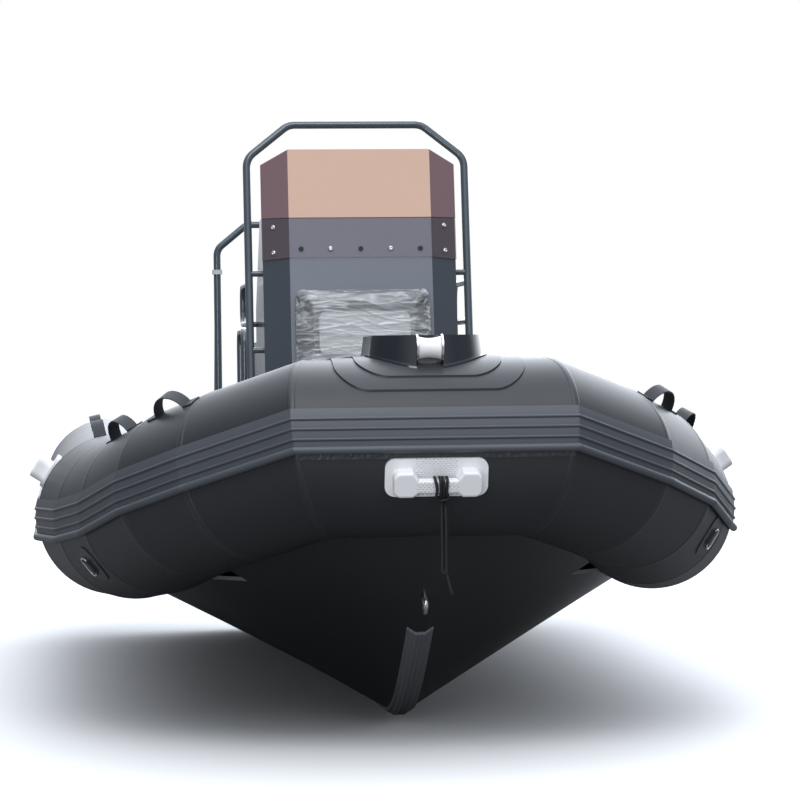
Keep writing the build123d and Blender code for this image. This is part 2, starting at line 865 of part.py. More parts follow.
# Front seat on the console's front face, its lid clear of the backrest
front_lid_front_y = front_seat_front_y + hinge_room
front_lid_back_y = rake_y(backrest_bottom_z) - backrest_thickness / rake_direction.Z - 2 * seat_gap
front_lid_depth = front_lid_back_y - front_lid_front_y
front_lid_y = (front_lid_back_y + front_lid_front_y) / 2
with BuildPart() as front_box:
    with BuildSketch(Plane.YZ):
        polygon([
            (front_seat_front_y, floor_z),
            (rake_y(floor_z), floor_z),
            (rake_y(front_seat_top_z), front_seat_top_z),
            (front_seat_front_y, front_seat_top_z),
        ])
    extrude(amount=front_seat_half_width, both=True)
    with BuildSketch(Plane.XY.offset(front_seat_top_z)):
        with Locations((0, front_lid_y)):
            Rectangle(2 * (front_seat_half_width - seat_wall), front_lid_depth - 2 * seat_wall)
    extrude(amount=-(front_seat_top_z - floor_z - seat_wall), mode=Mode.SUBTRACT)
front_pin_y = front_seat_front_y + hinge_room / 2
front_bases, front_knuckles = hinges_across(
    front_pin_y, front_seat_top_z + seat_lid_thickness / 2, seat_lid_thickness / 2
)
keep("front_seat_box", joined([front_box.part] + front_bases))
keep("front_seat_lid", joined([
    lid_plate(front_lid_y, front_seat_top_z, 2 * front_seat_half_width, front_lid_depth, seat_lid_thickness)
] + front_knuckles))
keep("front_seat_cushion", cushion(
    Plane(origin=(0, front_lid_y, front_seat_top_z + seat_lid_thickness), x_dir=(1, 0, 0), z_dir=(0, 0, 1)),
    2 * front_seat_half_width, front_lid_depth, front_cushion_thickness,
))
backrest_middle_z = (backrest_bottom_z + backrest_top_z) / 2
backrest_plane = Plane(
    origin=(0, rake_y(backrest_middle_z), backrest_middle_z),
    x_dir=(1, 0, 0), z_dir=(0, -rake_direction.Z, rake_direction.Y),
)
keep("front_backrest", cushion(
    backrest_plane, 2 * backrest_half_width, backrest_top_z - backrest_bottom_z, backrest_thickness
))

# Driver's seat between its side rails
driver_depth = driver_back_y - driver_front_y
driver_middle_y = (driver_back_y + driver_front_y) / 2
driver_lid_front_y = driver_front_y + hinge_room
driver_lid_depth = driver_back_y - driver_backrest_thickness - seat_gap - driver_lid_front_y
driver_lid_y = driver_lid_front_y + driver_lid_depth / 2
with BuildPart() as driver_box:
    with BuildSketch(Plane.XY.offset(floor_z)):
        with Locations((0, driver_middle_y)):
            RectangleRounded(2 * driver_half_width, driver_depth, cushion_corner)
    extrude(amount=driver_top_z - floor_z)
    with BuildSketch(Plane.XY.offset(driver_top_z)):
        with Locations((0, driver_lid_y)):
            RectangleRounded(
                2 * (driver_half_width - seat_wall), driver_lid_depth - 2 * seat_wall, cushion_corner - seat_wall
            )
    extrude(amount=-(driver_top_z - floor_z - seat_wall), mode=Mode.SUBTRACT)
driver_bases, driver_knuckles = hinges_across(
    driver_front_y + hinge_room / 2, driver_top_z + seat_lid_thickness / 2, seat_lid_thickness / 2
)
keep("driver_seat_box", joined([driver_box.part] + driver_bases))
keep("driver_seat_lid", joined([
    lid_plate(driver_lid_y, driver_top_z, 2 * driver_half_width, driver_lid_depth, seat_lid_thickness)
] + driver_knuckles))
keep("driver_seat_cushion", cushion(
    Plane(origin=(0, driver_lid_y, driver_top_z + seat_lid_thickness), x_dir=(1, 0, 0), z_dir=(0, 0, 1)),
    2 * driver_half_width, driver_lid_depth, driver_cushion_thickness,
))
driver_back_plane = Plane(
    origin=(0, driver_back_y, (driver_top_z + driver_backrest_top_z) / 2), x_dir=(1, 0, 0), z_dir=(0, -1, 0)
)
keep("driver_backrest", cushion(
    driver_back_plane, 2 * backrest_half_width, driver_backrest_top_z - driver_top_z,
    driver_backrest_thickness - seat_gap,
))
driver_rail_route = [
    (driver_rail_x, driver_rail_front_y, floor_z),
    (driver_rail_x, driver_rail_front_y, driver_rail_top_z),
    (driver_rail_x, driver_rail_back_y, driver_rail_top_z),
    (driver_rail_x, driver_rail_back_y, floor_z),
]
driver_rail = joined([
    pipe(driver_rail_route, rail_bend, pipe_radius),
    foot(driver_rail_x, driver_rail_front_y),
    foot(driver_rail_x, driver_rail_back_y),
])
keep("driver_rails", both_sides(driver_rail))

# Stern arch
arch_route = [
    (arch_half_width, arch_y, floor_z),
    (arch_half_width, arch_y, arch_corner_z),
    (arch_top_half_length, arch_y, arch_top_z),
    (-arch_top_half_length, arch_y, arch_top_z),
    (-arch_half_width, arch_y, arch_corner_z),
    (-arch_half_width, arch_y, floor_z),
]
arch_parts = [pipe(arch_route, arch_bend, arch_radius)]
for side in (1, -1):
    x = side * arch_half_width
    arch_parts.append(rod((x, arch_y, brace_z), (x, brace_y, floor_z), arch_radius))
    arch_parts.append(foot(x, arch_y))
    arch_parts.append(foot(x, brace_y))
keep("stern_arch", without(joined(arch_parts), deck))
collars = []
for side in (1, -1):
    with BuildPart() as ring:
        with BuildSketch(Plane.XY.offset(arch_collar_z - arch_collar_height / 2)):
            with Locations((side * arch_half_width, arch_y)):
                Circle(arch_collar_radius)
                Circle(arch_radius, mode=Mode.SUBTRACT)
        extrude(amount=arch_collar_height)
    collars.append(ring.part)
keep("arch_collars", joined(collars))

# Bow step on its patches
def bow_wrap(half_width, angle, inner, outer):
    """Patch wrapped over the bow tube down to an angle, with rounded corners in plan."""
    reach = outer * cos(radians(angle))
    with BuildPart() as patch:
        with BuildSketch(Plane(origin=(-half_width, bow_axis_y, bow_axis_z), x_dir=(0, 1, 0), z_dir=(1, 0, 0))):
            Circle(outer)
            Circle(inner, mode=Mode.SUBTRACT)
        extrude(amount=2 * half_width)
        with BuildSketch(Plane.XY.offset(bow_axis_z)):
            with Locations((0, bow_axis_y)):
                RectangleRounded(2 * half_width, 2 * reach, patch_corner)
        extrude(amount=2 * outer, mode=Mode.INTERSECT)
    return patch.part


patches = []
patch_top_radius = tube_radius
for half_width, angle in zip(patch_half_widths, patch_angles):
    patches.append(bow_wrap(half_width, angle, patch_top_radius, patch_top_radius + patch_thickness))
    patch_top_radius += patch_thickness
keep("step_patches", joined(patches))

step_front_y = bow_axis_y - step_reach
step_back_y = step_front_y + step_length
step_top_z = bow_axis_z + tube_radius + step_rise
roller_y = bow_axis_y - roller_reach
roller_z = bow_axis_z + tube_radius + roller_rise


def step_outline():
    """D-shaped plan with a curved front, in the open sketch."""
    corner_y = step_front_y + step_arc_depth
    with BuildLine() as outline:
        ThreePointArc((-step_top_half_width, corner_y), (0, step_front_y), (step_top_half_width, corner_y))
        Polyline(
            (step_top_half_width, corner_y),
            (step_top_half_width, step_back_y),
            (-step_top_half_width, step_back_y),
            (-step_top_half_width, corner_y),
        )
    make_face(outline.edges())


slot_half_width = roller_width / 2 + roller_side_gap + cheek_thickness
with BuildPart() as patched_tube:
    with BuildSketch(Plane(origin=(-overrun, bow_axis_y, bow_axis_z), x_dir=(0, 1, 0), z_dir=(1, 0, 0))):
        Circle(patch_top_radius)
    extrude(amount=2 * overrun)
with BuildPart() as step_foot:
    with BuildSketch(Plane(origin=(-overrun, bow_axis_y, bow_axis_z), x_dir=(0, 1, 0), z_dir=(1, 0, 0))):
        Circle(patch_top_radius + step_flange_thickness)
    extrude(amount=2 * overrun)
    with BuildSketch(Plane.XY.offset(bow_axis_z)):
        step_outline()
        offset(amount=step_flange + step_rise * tan(radians(step_draft)), kind=Kind.INTERSECTION, mode=Mode.REPLACE)
    extrude(amount=overrun, mode=Mode.INTERSECT)
with BuildPart() as bow_step:
    with BuildSketch(Plane.XY.offset(step_top_z)):
        step_outline()
    extrude(amount=bow_axis_z + tube_radius / 4 - step_top_z, taper=-step_draft)
    add(step_foot.part)
    with BuildSketch(Plane.XY.offset(bow_axis_z)):
        with Locations((0, step_front_y)):
            Rectangle(2 * slot_half_width, 4 * cheek_radius)
    extrude(amount=overrun, mode=Mode.SUBTRACT)
    add(patched_tube.part, mode=Mode.SUBTRACT)
    with BuildSketch(Plane.XY.offset(bow_axis_z)):
        with Locations((0, bow_axis_y + overrun)):
            Rectangle(4 * step_top_half_width, 2 * overrun)
    extrude(amount=tube_radius / 2, mode=Mode.SUBTRACT)
keep("bow_step", bow_step.part)

arm_reach = step_front_y + 2 * cheek_radius - roller_y
cheek_x = roller_width / 2 + roller_side_gap
cheeks = []
for start in (cheek_x, -cheek_x - cheek_thickness):
    with BuildPart() as cheek:
        with BuildSketch(Plane(origin=(start, roller_y, roller_z), x_dir=(0, 1, 0), z_dir=(1, 0, 0))):
            Circle(cheek_radius)
            with BuildLine() as arm:
                Polyline(
                    (0, -cheek_radius), (0, cheek_radius / 2), (arm_reach, cheek_radius / 2),
                    (arm_reach, -cheek_radius), close=True,
                )
            make_face(arm.edges())
        extrude(amount=cheek_thickness)
        add(patched_tube.part, mode=Mode.SUBTRACT)
    cheeks.append(cheek.part)
pin = rod((-cheek_x, roller_y, roller_z), (cheek_x, roller_y, roller_z), roller_pin_radius)
keep("roller_cheeks", joined(cheeks + [pin]))
with BuildPart() as roller:
    with BuildSketch(Plane(origin=(0, roller_y, roller_z), x_dir=(1, 0, 0), z_dir=(0, -1, 0))):
        with BuildLine() as profile:
            Polyline(
                (roller_width / 2, roller_radius),
                (roller_width / 2, roller_pin_radius + pin_clearance),
                (-roller_width / 2, roller_pin_radius + pin_clearance),
                (-roller_width / 2, roller_radius),
            )
            ThreePointArc(
                (-roller_width / 2, roller_radius), (0, roller_waist_radius), (roller_width / 2, roller_radius)
            )
        make_face(profile.edges())
    revolve(axis=Axis((0, roller_y, roller_z), (1, 0, 0)))
keep("anchor_roller", roller.part)


# Lifting handles
def lifting_handle(plane):
    """Plate with a dog-bone grip and a finger tunnel behind its bar, standing on a plane."""
    neck_low, neck_high = grip_neck_half_widths
    end_top = grip_end_height / 2 - grip_end_drop
    end_bottom = end_top - grip_end_height
    bar_top = grip_bar_height / 2 - grip_bar_drop
    bar_bottom = bar_top - grip_bar_height
    port_side = [
        (neck_low, bar_top), (neck_high, end_top), (grip_half_length, end_top),
        (grip_half_length, end_bottom), (neck_high, end_bottom), (neck_low, bar_bottom),
    ]
    with BuildPart() as grip:
        with BuildSketch(plane) as outline:
            polygon(port_side + [(-x, y) for x, y in reversed(port_side)])
            ends = outline.vertices().group_by(Axis.X)
            fillet(ends[0] + ends[-1], grip_end_corner)
        extrude(amount=grip_reach)
        fillet(grip.faces().sort_by(Axis(plane.origin, plane.z_dir))[-1].edges(), grip_edge)
        with BuildSketch(plane):
            Rectangle(2 * neck_low, 2 * handle_plate_height)
        extrude(amount=handle_plate_thickness + grip_tunnel, mode=Mode.SUBTRACT)
    with BuildPart() as handle:
        with BuildSketch(plane.offset(-handle_plate_thickness)):
            RectangleRounded(handle_plate_length, handle_plate_height, handle_plate_corner)
        extrude(amount=2 * handle_plate_thickness)
        add(grip.part)
    return handle.part


def on_collar(place, angle):
    """Point on the collar's skin, its outward direction and the run, by length and share along it."""
    index = int(place)
    run = runs[index]
    side, up = frame_of(run)
    out = side * cos(radians(angle)) + up * sin(radians(angle))
    middle = collar[index] + (collar[index + 1] - collar[index]) * (place - index)
    return middle + out * tube_radius, out, run


handle_out = Vector(0, -cos(radians(handle_angle)), sin(radians(handle_angle)))
handle_plane = Plane(
    origin=Vector(0, bow_axis_y, bow_axis_z) + handle_out * tube_radius, x_dir=(1, 0, 0), z_dir=handle_out
)
keep("bow_handle", without(lifting_handle(handle_plane), tube_bow, nodes["bonding_band"], nodes["strake_bow"]))
point, out, run = on_collar(side_run + side_handle_share, side_handle_angle)
side_handle = lifting_handle(Plane(origin=point, x_dir=run, z_dir=out))
keep("side_handles", both_sides(without(side_handle, tube_middle.part, strake_port)))


# D-rings
def ring_set(place, angle):
    """Round patch with a webbing tab on the tube, and the D-shaped wire ring under the tab."""
    point, out, run = on_collar(place, angle)
    index = int(place)
    axis_point = point - out * tube_radius - run * overrun
    with BuildPart() as patch:
        with BuildSketch(Plane(origin=axis_point, z_dir=run)):
            Circle(tube_radius + ring_patch_thickness)
            Circle(tube_radius, mode=Mode.SUBTRACT)
        extrude(amount=2 * overrun)
        with BuildSketch(Plane(origin=point - out * tube_radius / 2, x_dir=run, z_dir=out)):
            Circle(ring_patch_radius)
        extrude(amount=tube_radius, mode=Mode.INTERSECT)
    seat = point + out * (ring_patch_thickness + ring_wire_radius)
    with BuildPart() as ring:
        with BuildLine(Plane(origin=seat, x_dir=run.cross(out), z_dir=out)) as bow:
            FilletPolyline(
                (-ring_half_width, 0), (ring_half_width, 0), (ring_half_width, ring_depth),
                (-ring_half_width, ring_depth), radius=ring_corner, close=True,
            )
        with BuildSketch(Plane(origin=bow.wire() @ 0, z_dir=bow.wire() % 0)):
            Circle(ring_wire_radius)
        sweep(path=bow.wire())
    with BuildPart() as tab:
        with BuildSketch(Plane(origin=point, x_dir=run, z_dir=out)):
            Rectangle(ring_tab_length, ring_tab_width)
        extrude(amount=ring_patch_thickness + 3 * ring_wire_radius)
    held = without(tab.part, ring.part, patch.part, length_of(index, tube_section))
    return joined([patch.part, held]), ring.part


port_seat, port_ring = ring_set(ring_port_share, ring_port_angle)
starboard_seat, starboard_ring = ring_set(ring_starboard_share, ring_starboard_angle)
keep("ring_patches", joined([port_seat, mirrored(starboard_seat)]))
keep("d_rings", joined([port_ring, mirrored(starboard_ring)]))


# Strap handles on the tubes' tops: an arched ribbon with a flat foot at each end
def strap(place, angle):
    """Arched webbing strap along the tube at an angle up from outboard."""
    point, out, run = on_collar(place, angle)
    across = run.cross(out)
    reach = strap_half_length + strap_foot_length
    with BuildPart() as ribbon:
        with BuildSketch(Plane(origin=point - across * strap_width / 2, x_dir=run, z_dir=across)):
            with BuildLine() as outline:
                Polyline(
                    (-strap_half_length, 0), (-strap_half_length, -strap_thickness), (-reach, -strap_thickness),
                    (-reach, strap_thickness), (-strap_half_length, strap_thickness),
                )
                ThreePointArc(
                    (-strap_half_length, strap_thickness), (0, strap_rise + strap_thickness),
                    (strap_half_length, strap_thickness),
                )
                Polyline(
                    (strap_half_length, strap_thickness), (reach, strap_thickness), (reach, -strap_thickness),
                    (strap_half_length, -strap_thickness), (strap_half_length, 0),
                )
                ThreePointArc((strap_half_length, 0), (0, strap_rise), (-strap_half_length, 0))
            make_face(outline.edges())
        extrude(amount=strap_width)
    return ribbon.part


straps = joined([strap(place, angle) for place, angle in zip(strap_shares, strap_angles)])
straps = without(straps, *collar_port[:-1])
keep("strap_handles_port", straps)
keep("strap_handles_starboard", mirrored(straps))

# Valves inboard on the side tubes
valve_ys = [side_start_y + share * (cone_start_y - side_start_y) for share in valve_shares]
valve_x = side_x - tube_radius - valve_height
with BuildPart() as valve:
    for y in valve_ys:
        with BuildSketch(Plane(origin=(valve_x, y, side_z), x_dir=(0, 1, 0), z_dir=(1, 0, 0))):
            Circle(valve_radius)
        extrude(amount=2 * valve_height)
keep("valves", both_sides(without(valve.part, tube_middle.part, tube_aft.part)))


# Eyes
def eye(origin, out, along):
    """Bent rod eye standing out of a face on two legs."""
    with BuildPart() as staple:
        with BuildLine(Plane(origin=origin, x_dir=along, z_dir=along.cross(out))) as bow:
            FilletPolyline(
                (-eye_half_width, -eye_foot_depth), (-eye_half_width, eye_reach),
                (eye_half_width, eye_reach), (eye_half_width, -eye_foot_depth),
                radius=eye_half_width * 3 / 4,
            )
        with BuildSketch(Plane(origin=bow.wire() @ 0, z_dir=bow.wire() % 0)):
            Circle(eye_wire_radius)
        sweep(path=bow.wire())
    return staple.part


stem_line = Axis((0, stem_y - overrun, bow_eye_z), (0, 1, 0))
eye_place, stem_out = hull_solid.part.find_intersection_points(stem_line)[0]
stem_along = stem_out.cross(Vector(1, 0, 0))
keep("bow_eye", without(eye(eye_place, stem_out, stem_along), hull_solid.part))
stern_eyes = eye(Vector(stern_eye_x, transom_y, stern_eye_z), Vector(0, 1, 0), Vector(0, 0, 1))
keep("stern_eyes", without(both_sides(stern_eyes), hull_solid.part))
with BuildPart() as drain:
    with BuildSketch(station_plane(transom_y)):
        with Locations((drain_x, drain_z)):
            Circle(drain_radius)
            Circle(drain_bore_radius, mode=Mode.SUBTRACT)
    extrude(amount=-drain_thickness)
keep("drains", both_sides(drain.part))

# Painter: the turns round the grip as one band, the hank under it and its loose tail
bar_depth = grip_reach - handle_plate_thickness - grip_tunnel
bar_centre = handle_plane.from_local_coords((0, -grip_bar_drop, grip_reach - bar_depth / 2))
band_plane = Plane(
    origin=bar_centre - Vector(loops_width / 2, 0, 0), x_dir=handle_plane.y_dir, z_dir=(1, 0, 0)
)
inner_height = grip_bar_height + 2 * loops_gap
inner_depth = bar_depth + 2 * loops_gap
with BuildPart() as loops:
    with BuildSketch(band_plane):
        RectangleRounded(
            inner_height + 4 * cord_radius, inner_depth + 4 * cord_radius, grip_edge + 2 * cord_radius
        )
        Rectangle(inner_height, inner_depth, mode=Mode.SUBTRACT)
    extrude(amount=loops_width)
keep("painter_loops", loops.part)
band_bottom = bar_centre - handle_plane.y_dir * (inner_height / 2 + 2 * cord_radius)
hank_top = Vector(hank_top_x, band_bottom.Y, band_bottom.Z)
hank_end = Vector(hank_bottom_x, band_bottom.Y, band_bottom.Z - hank_length)
with BuildPart() as hank:
    with BuildSketch(Plane(origin=hank_top, x_dir=(1, 0, 0), z_dir=hank_end - hank_top)):
        Ellipse(hank_width / 2, hank_depth / 2)
    extrude(amount=(hank_end - hank_top).length)
keep("painter_hank", without(hank.part, loops.part))
tail_route = [
    hank_end,
    hank_end + Vector((tail_end_x - hank_bottom_x) * tail_bend_share / 2, 0, -tail_drop * tail_bend_share),
    Vector(tail_end_x, hank_end.Y, hank_end.Z - tail_drop),
]
legs = [b - a for a, b in zip(tail_route, tail_route[1:])]
tail_bends = [
    0.45 * min(a.length, b.length) / tan(radians(a.get_angle(b) / 2)) for a, b in zip(legs, legs[1:])
]
with BuildPart() as tail:
    with BuildLine() as path:
        FilletPolyline(*tail_route, radius=tail_bends)
    with BuildSketch(Plane(origin=path.wire() @ 0, z_dir=path.wire() % 0)):
        Circle(cord_radius)
    sweep(path=path.wire())
keep("painter_tail", without(tail.part, hank.part))

for name, body in nodes.items():
    body.label = name
    export_step(body, f"parts/{name}.step")
    print(name, round(body.volume / 1e6, 3), "dm3", len(body.solids()), "solids")
print("steering axis", helm_plane.origin, dash_normal)
print("roller axis", roller_y, roller_z)
print("bow eye", eye_place, stem_out)
print("lid pins", locker_pin_y, front_pin_y, driver_front_y + hinge_room / 2)
print("tail bend radii", tail_bends)
print("handle origin", handle_plane.origin, "bar centre", bar_centre)
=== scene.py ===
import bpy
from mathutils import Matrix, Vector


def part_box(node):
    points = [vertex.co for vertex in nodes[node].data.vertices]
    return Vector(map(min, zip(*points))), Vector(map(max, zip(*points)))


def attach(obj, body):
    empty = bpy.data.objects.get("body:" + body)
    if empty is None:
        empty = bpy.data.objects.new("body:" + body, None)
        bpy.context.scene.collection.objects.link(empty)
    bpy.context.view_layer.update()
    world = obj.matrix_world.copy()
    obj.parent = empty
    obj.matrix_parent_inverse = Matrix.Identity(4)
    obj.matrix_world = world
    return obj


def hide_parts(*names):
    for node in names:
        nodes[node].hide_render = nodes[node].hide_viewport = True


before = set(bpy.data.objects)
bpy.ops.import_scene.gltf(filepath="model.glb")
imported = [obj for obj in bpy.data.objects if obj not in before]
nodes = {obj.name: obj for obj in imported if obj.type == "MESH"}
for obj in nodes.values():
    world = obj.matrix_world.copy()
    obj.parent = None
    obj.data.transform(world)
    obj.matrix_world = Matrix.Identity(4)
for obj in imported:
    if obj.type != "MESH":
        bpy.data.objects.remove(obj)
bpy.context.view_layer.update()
from math import cos, pi, radians, sin

import bmesh
import bpy
import numpy as np
from mathutils import Matrix, Vector

# Sizes shared with the solids, in metres
tube_radius = 0.240
bow_axis = np.array([0.0, -2.160, 0.510])
bow_half_length = 0.295
side_x, side_z, side_start_y, cone_start_y = 0.815, 0.295, -1.130, 1.850
gore_shares = ((0.375, 0.136, 0.679), (0.615, 0.306, 0.433), (0.779, 0.524, 0.163), (0.904, 0.748, 0.028))
console_front_y, console_rake, deck_z = -0.537, 0.15, 0.130
facet_start_x, facet_end_x, facet_set_back = 0.235, 0.320, 0.052
screen_thickness, hood_z = 0.005, 1.222
rake_length = (1.0 + console_rake ** 2) ** 0.5
rake_normal = np.array([0.0, -1.0, console_rake]) / rake_length
handle_angle = radians(-17.0)

# Sizes of the scene's own pieces, in metres
cord_diameter, painter_length = 0.008, 1.35
tape_half_width, tape_lift, tape_sides = 0.016, 0.0007, 96
screw_sides = 20
screen_inset = 0.0004
cushion_draw_in, cushion_fill = 0.010, 0.8
cloth_pressure, cloth_frames = 4.0, 20
film_base_gap, film_rise_depth, film_lift, film_fold_height = 0.004, 0.02, 0.0012, 0.0065
fold_count = 9
floor_gap, floor_size, floor_centre_y = 0.002, 80.0, 10.0

# Camera, in metres and degrees
camera_place = (-0.941, -10.187, 0.7236)
camera_yaw, camera_pitch, camera_roll = 6.202, -0.593, -0.678
camera_lens, sensor_width = 134.7, 36.0


# Mesh helpers
def unit(vector):
    """Vector of length one."""
    return np.asarray(vector, float) / np.linalg.norm(vector)


def mesh_piece(name, points, faces, material, body):
    """New smooth-shaded piece at the origin from vertex and face arrays, riding on a body."""
    mesh = bpy.data.meshes.new(name)
    mesh.vertices.add(len(points))
    mesh.vertices.foreach_set("co", np.asarray(points, np.float32).ravel())
    faces = np.asarray(faces, np.int32)
    mesh.loops.add(faces.size)
    mesh.loops.foreach_set("vertex_index", faces.ravel())
    mesh.polygons.add(len(faces))
    mesh.polygons.foreach_set("loop_start", np.arange(0, faces.size, faces.shape[1], dtype=np.int32))
    mesh.polygons.foreach_set("loop_total", np.full(len(faces), faces.shape[1], np.int32))
    mesh.update(calc_edges=True)
    mesh.validate()
    mesh.polygons.foreach_set("use_smooth", np.ones(len(mesh.polygons), bool))
    mesh.materials.append(material)
    obj = bpy.data.objects.new(name, mesh)
    bpy.context.scene.collection.objects.link(obj)
    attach(obj, body)
    return obj


def grid_faces(rows, columns):
    """Quads of a grid of vertices in row order, its last column joined to the first."""
    i, j = np.meshgrid(np.arange(rows - 1), np.arange(columns), indexing="ij")
    k = (j + 1) % columns
    quads = [i * columns + j, i * columns + k, (i + 1) * columns + k, (i + 1) * columns + j]
    return np.stack(quads, -1).reshape(-1, 4)


def outward(obj):
    """A piece's doubles merged and its normals made to agree and point out."""
    work = bmesh.new()
    work.from_mesh(obj.data)
    bmesh.ops.remove_doubles(work, verts=work.verts, dist=1e-6)
    bmesh.ops.recalc_face_normals(work, faces=work.faces)
    work.to_mesh(obj.data)
    work.free()


def lathe(profile, centre, axis, sides):
    """Vertices and faces of a profile of (radius, height) pairs turned round an axis through a centre."""
    axis = unit(axis)
    across = unit(np.cross(axis, [0.0, 0.0, 1.0] if abs(axis[2]) < 0.9 else [1.0, 0.0, 0.0]))
    other = np.cross(axis, across)
    turn = np.linspace(0.0, 2.0 * pi, sides, endpoint=False)
    ring = np.cos(turn)[:, None] * across + np.sin(turn)[:, None] * other
    profile = np.asarray(profile, float)
    points = centre + profile[:, :1, None] * ring[None] + profile[:, 1:, None] * axis
    return points.reshape(-1, 3), grid_faces(len(profile), sides)


def merged(parts):
    """Several (vertices, faces) sets as one."""
    points, faces, count = [], [], 0
    for part_points, part_faces in parts:
        points.append(part_points)
        faces.append(part_faces + count)
        count += len(part_points)
    return np.concatenate(points), np.concatenate(faces)


# Collar line: the corners of the tube's axis on the port side, and the direction of each length
corner_list = [bow_axis + [-bow_half_length, 0, 0], bow_axis + [bow_half_length, 0, 0]]
for out_share, aft_share, rise_share in gore_shares:
    corner_list.append(np.array([
        bow_half_length + out_share * (side_x - bow_half_length),
        bow_axis[1] + aft_share * (side_start_y - bow_axis[1]),
        side_z + rise_share * (bow_axis[2] - side_z),
    ]))
corner_list += [np.array([side_x, side_start_y, side_z]), np.array([side_x, cone_start_y, side_z])]
corners = np.array(corner_list)
runs = np.array([unit(b - a) for a, b in zip(corners, corners[1:])])


# Shader node groups
def group(name, inputs, outputs):
    """An empty shader node group with the named sockets."""
    tree = bpy.data.node_groups.new(name, "ShaderNodeTree")
    for label, kind, value in inputs:
        tree.interface.new_socket(label, in_out="INPUT", socket_type=kind).default_value = value
    for label, kind in outputs:
        tree.interface.new_socket(label, in_out="OUTPUT", socket_type=kind)
    return tree, tree.nodes.new("NodeGroupInput"), tree.nodes.new("NodeGroupOutput")


def math_node(tree, operation, first, second=None, clamp=False):
    """A Math node whose inputs are sockets or plain values; gives back its output."""
    node = tree.nodes.new("ShaderNodeMath")
    node.operation = operation
    node.use_clamp = clamp
    for socket, value in zip(node.inputs, (first, second)):
        if value is None:
            continue
        if isinstance(value, (int, float)):
            socket.default_value = value
        else:
            tree.links.new(value, socket)
    return node.outputs[0]


def grain_group():
    """Grain: fine noise for a height and broad noise for a mask, from object coordinates."""
    tree, inward, outward_node = group(
        "grain",
        [("Fine scale", "NodeSocketFloat", 300.0), ("Broad scale", "NodeSocketFloat", 2.0)],
        [("Height", "NodeSocketFloat"), ("Mask", "NodeSocketFloat")],
    )
    coords = tree.nodes.new("ShaderNodeTexCoord")
    fine = tree.nodes.new("ShaderNodeTexNoise")
    fine.inputs["Detail"].default_value = 3.0
    broad = tree.nodes.new("ShaderNodeTexNoise")
    broad.inputs["Detail"].default_value = 5.0
    tree.links.new(coords.outputs["Object"], fine.inputs["Vector"])
    tree.links.new(coords.outputs["Object"], broad.inputs["Vector"])
    tree.links.new(inward.outputs["Fine scale"], fine.inputs["Scale"])
    tree.links.new(inward.outputs["Broad scale"], broad.inputs["Scale"])
    tree.links.new(fine.outputs["Fac"], outward_node.inputs["Height"])
    tree.links.new(broad.outputs["Fac"], outward_node.inputs["Mask"])
    return tree


def dust_and_top_light_group():
    """Dust and painted top light: a mask that is high on faces turned up and broken by noise. What it lightens
    is partly dust, partly painted light from above.
    """
    tree, inward, outward_node = group(
        "dust_and_top_light", [("Amount", "NodeSocketFloat", 0.3)], [("Mask", "NodeSocketFloat")]
    )
    geometry = tree.nodes.new("ShaderNodeNewGeometry")
    split = tree.nodes.new("ShaderNodeSeparateXYZ")
    coords = tree.nodes.new("ShaderNodeTexCoord")
    noise = tree.nodes.new("ShaderNodeTexNoise")
    noise.inputs["Scale"].default_value = 6.0
    noise.inputs["Detail"].default_value = 6.0
    upward = tree.nodes.new("ShaderNodeMapRange")
    upward.inputs["From Min"].default_value = 0.1
    upward.inputs["From Max"].default_value = 1.0
    tree.links.new(geometry.outputs["Normal"], split.inputs[0])
    tree.links.new(split.outputs["Z"], upward.inputs["Value"])
    tree.links.new(coords.outputs["Object"], noise.inputs["Vector"])
    broken = math_node(tree, "MULTIPLY", upward.outputs[0], noise.outputs["Fac"])
    mask = math_node(tree, "MULTIPLY", broken, inward.outputs["Amount"], clamp=True)
    tree.links.new(mask, outward_node.inputs["Mask"])
    return tree


def rounded_box_group():
    """Rounded box: 1 inside a rounded rectangle in X and Z, and 1 on its edge line."""
    tree, inward, outward_node = group(
        "rounded_box",
        [
            ("Centre Z", "NodeSocketFloat", 0.0), ("Half width", "NodeSocketFloat", 0.1),
            ("Half height", "NodeSocketFloat", 0.1), ("Corner", "NodeSocketFloat", 0.02),
            ("Line", "NodeSocketFloat", 0.003),
        ],
        [("Inside", "NodeSocketFloat"), ("Edge", "NodeSocketFloat")],
    )
    coords = tree.nodes.new("ShaderNodeTexCoord")
    split = tree.nodes.new("ShaderNodeSeparateXYZ")
    tree.links.new(coords.outputs["Object"], split.inputs[0])
    legs = []
    for value, half in ((split.outputs["X"], "Half width"), (None, "Half height")):
        if value is None:
            value = math_node(tree, "SUBTRACT", split.outputs["Z"], inward.outputs["Centre Z"])
        reach = math_node(tree, "SUBTRACT", inward.outputs[half], inward.outputs["Corner"])
        past = math_node(tree, "SUBTRACT", math_node(tree, "ABSOLUTE", value), reach)
        legs.append(math_node(tree, "MAXIMUM", past, 0.0))
    squares = [math_node(tree, "MULTIPLY", leg, leg) for leg in legs]
    length = math_node(tree, "SQRT", math_node(tree, "ADD", squares[0], squares[1]))
    distance = math_node(tree, "SUBTRACT", length, inward.outputs["Corner"])
    tree.links.new(math_node(tree, "LESS_THAN", distance, 0.0), outward_node.inputs["Inside"])
    near = math_node(tree, "DIVIDE", math_node(tree, "ABSOLUTE", distance), inward.outputs["Line"])
    tree.links.new(math_node(tree, "SUBTRACT", 1.0, near, clamp=True), outward_node.inputs["Edge"])
    return tree


GRAIN = grain_group()
DUST_AND_TOP_LIGHT = dust_and_top_light_group()
BOX = rounded_box_group()


def add_group(tree, source, **values):
    """A group node with some of its inputs set."""
    node = tree.nodes.new("ShaderNodeGroup")
    node.node_tree = source
    for label, value in values.items():
        node.inputs[label.replace("_", " ")].default_value = value
    return node


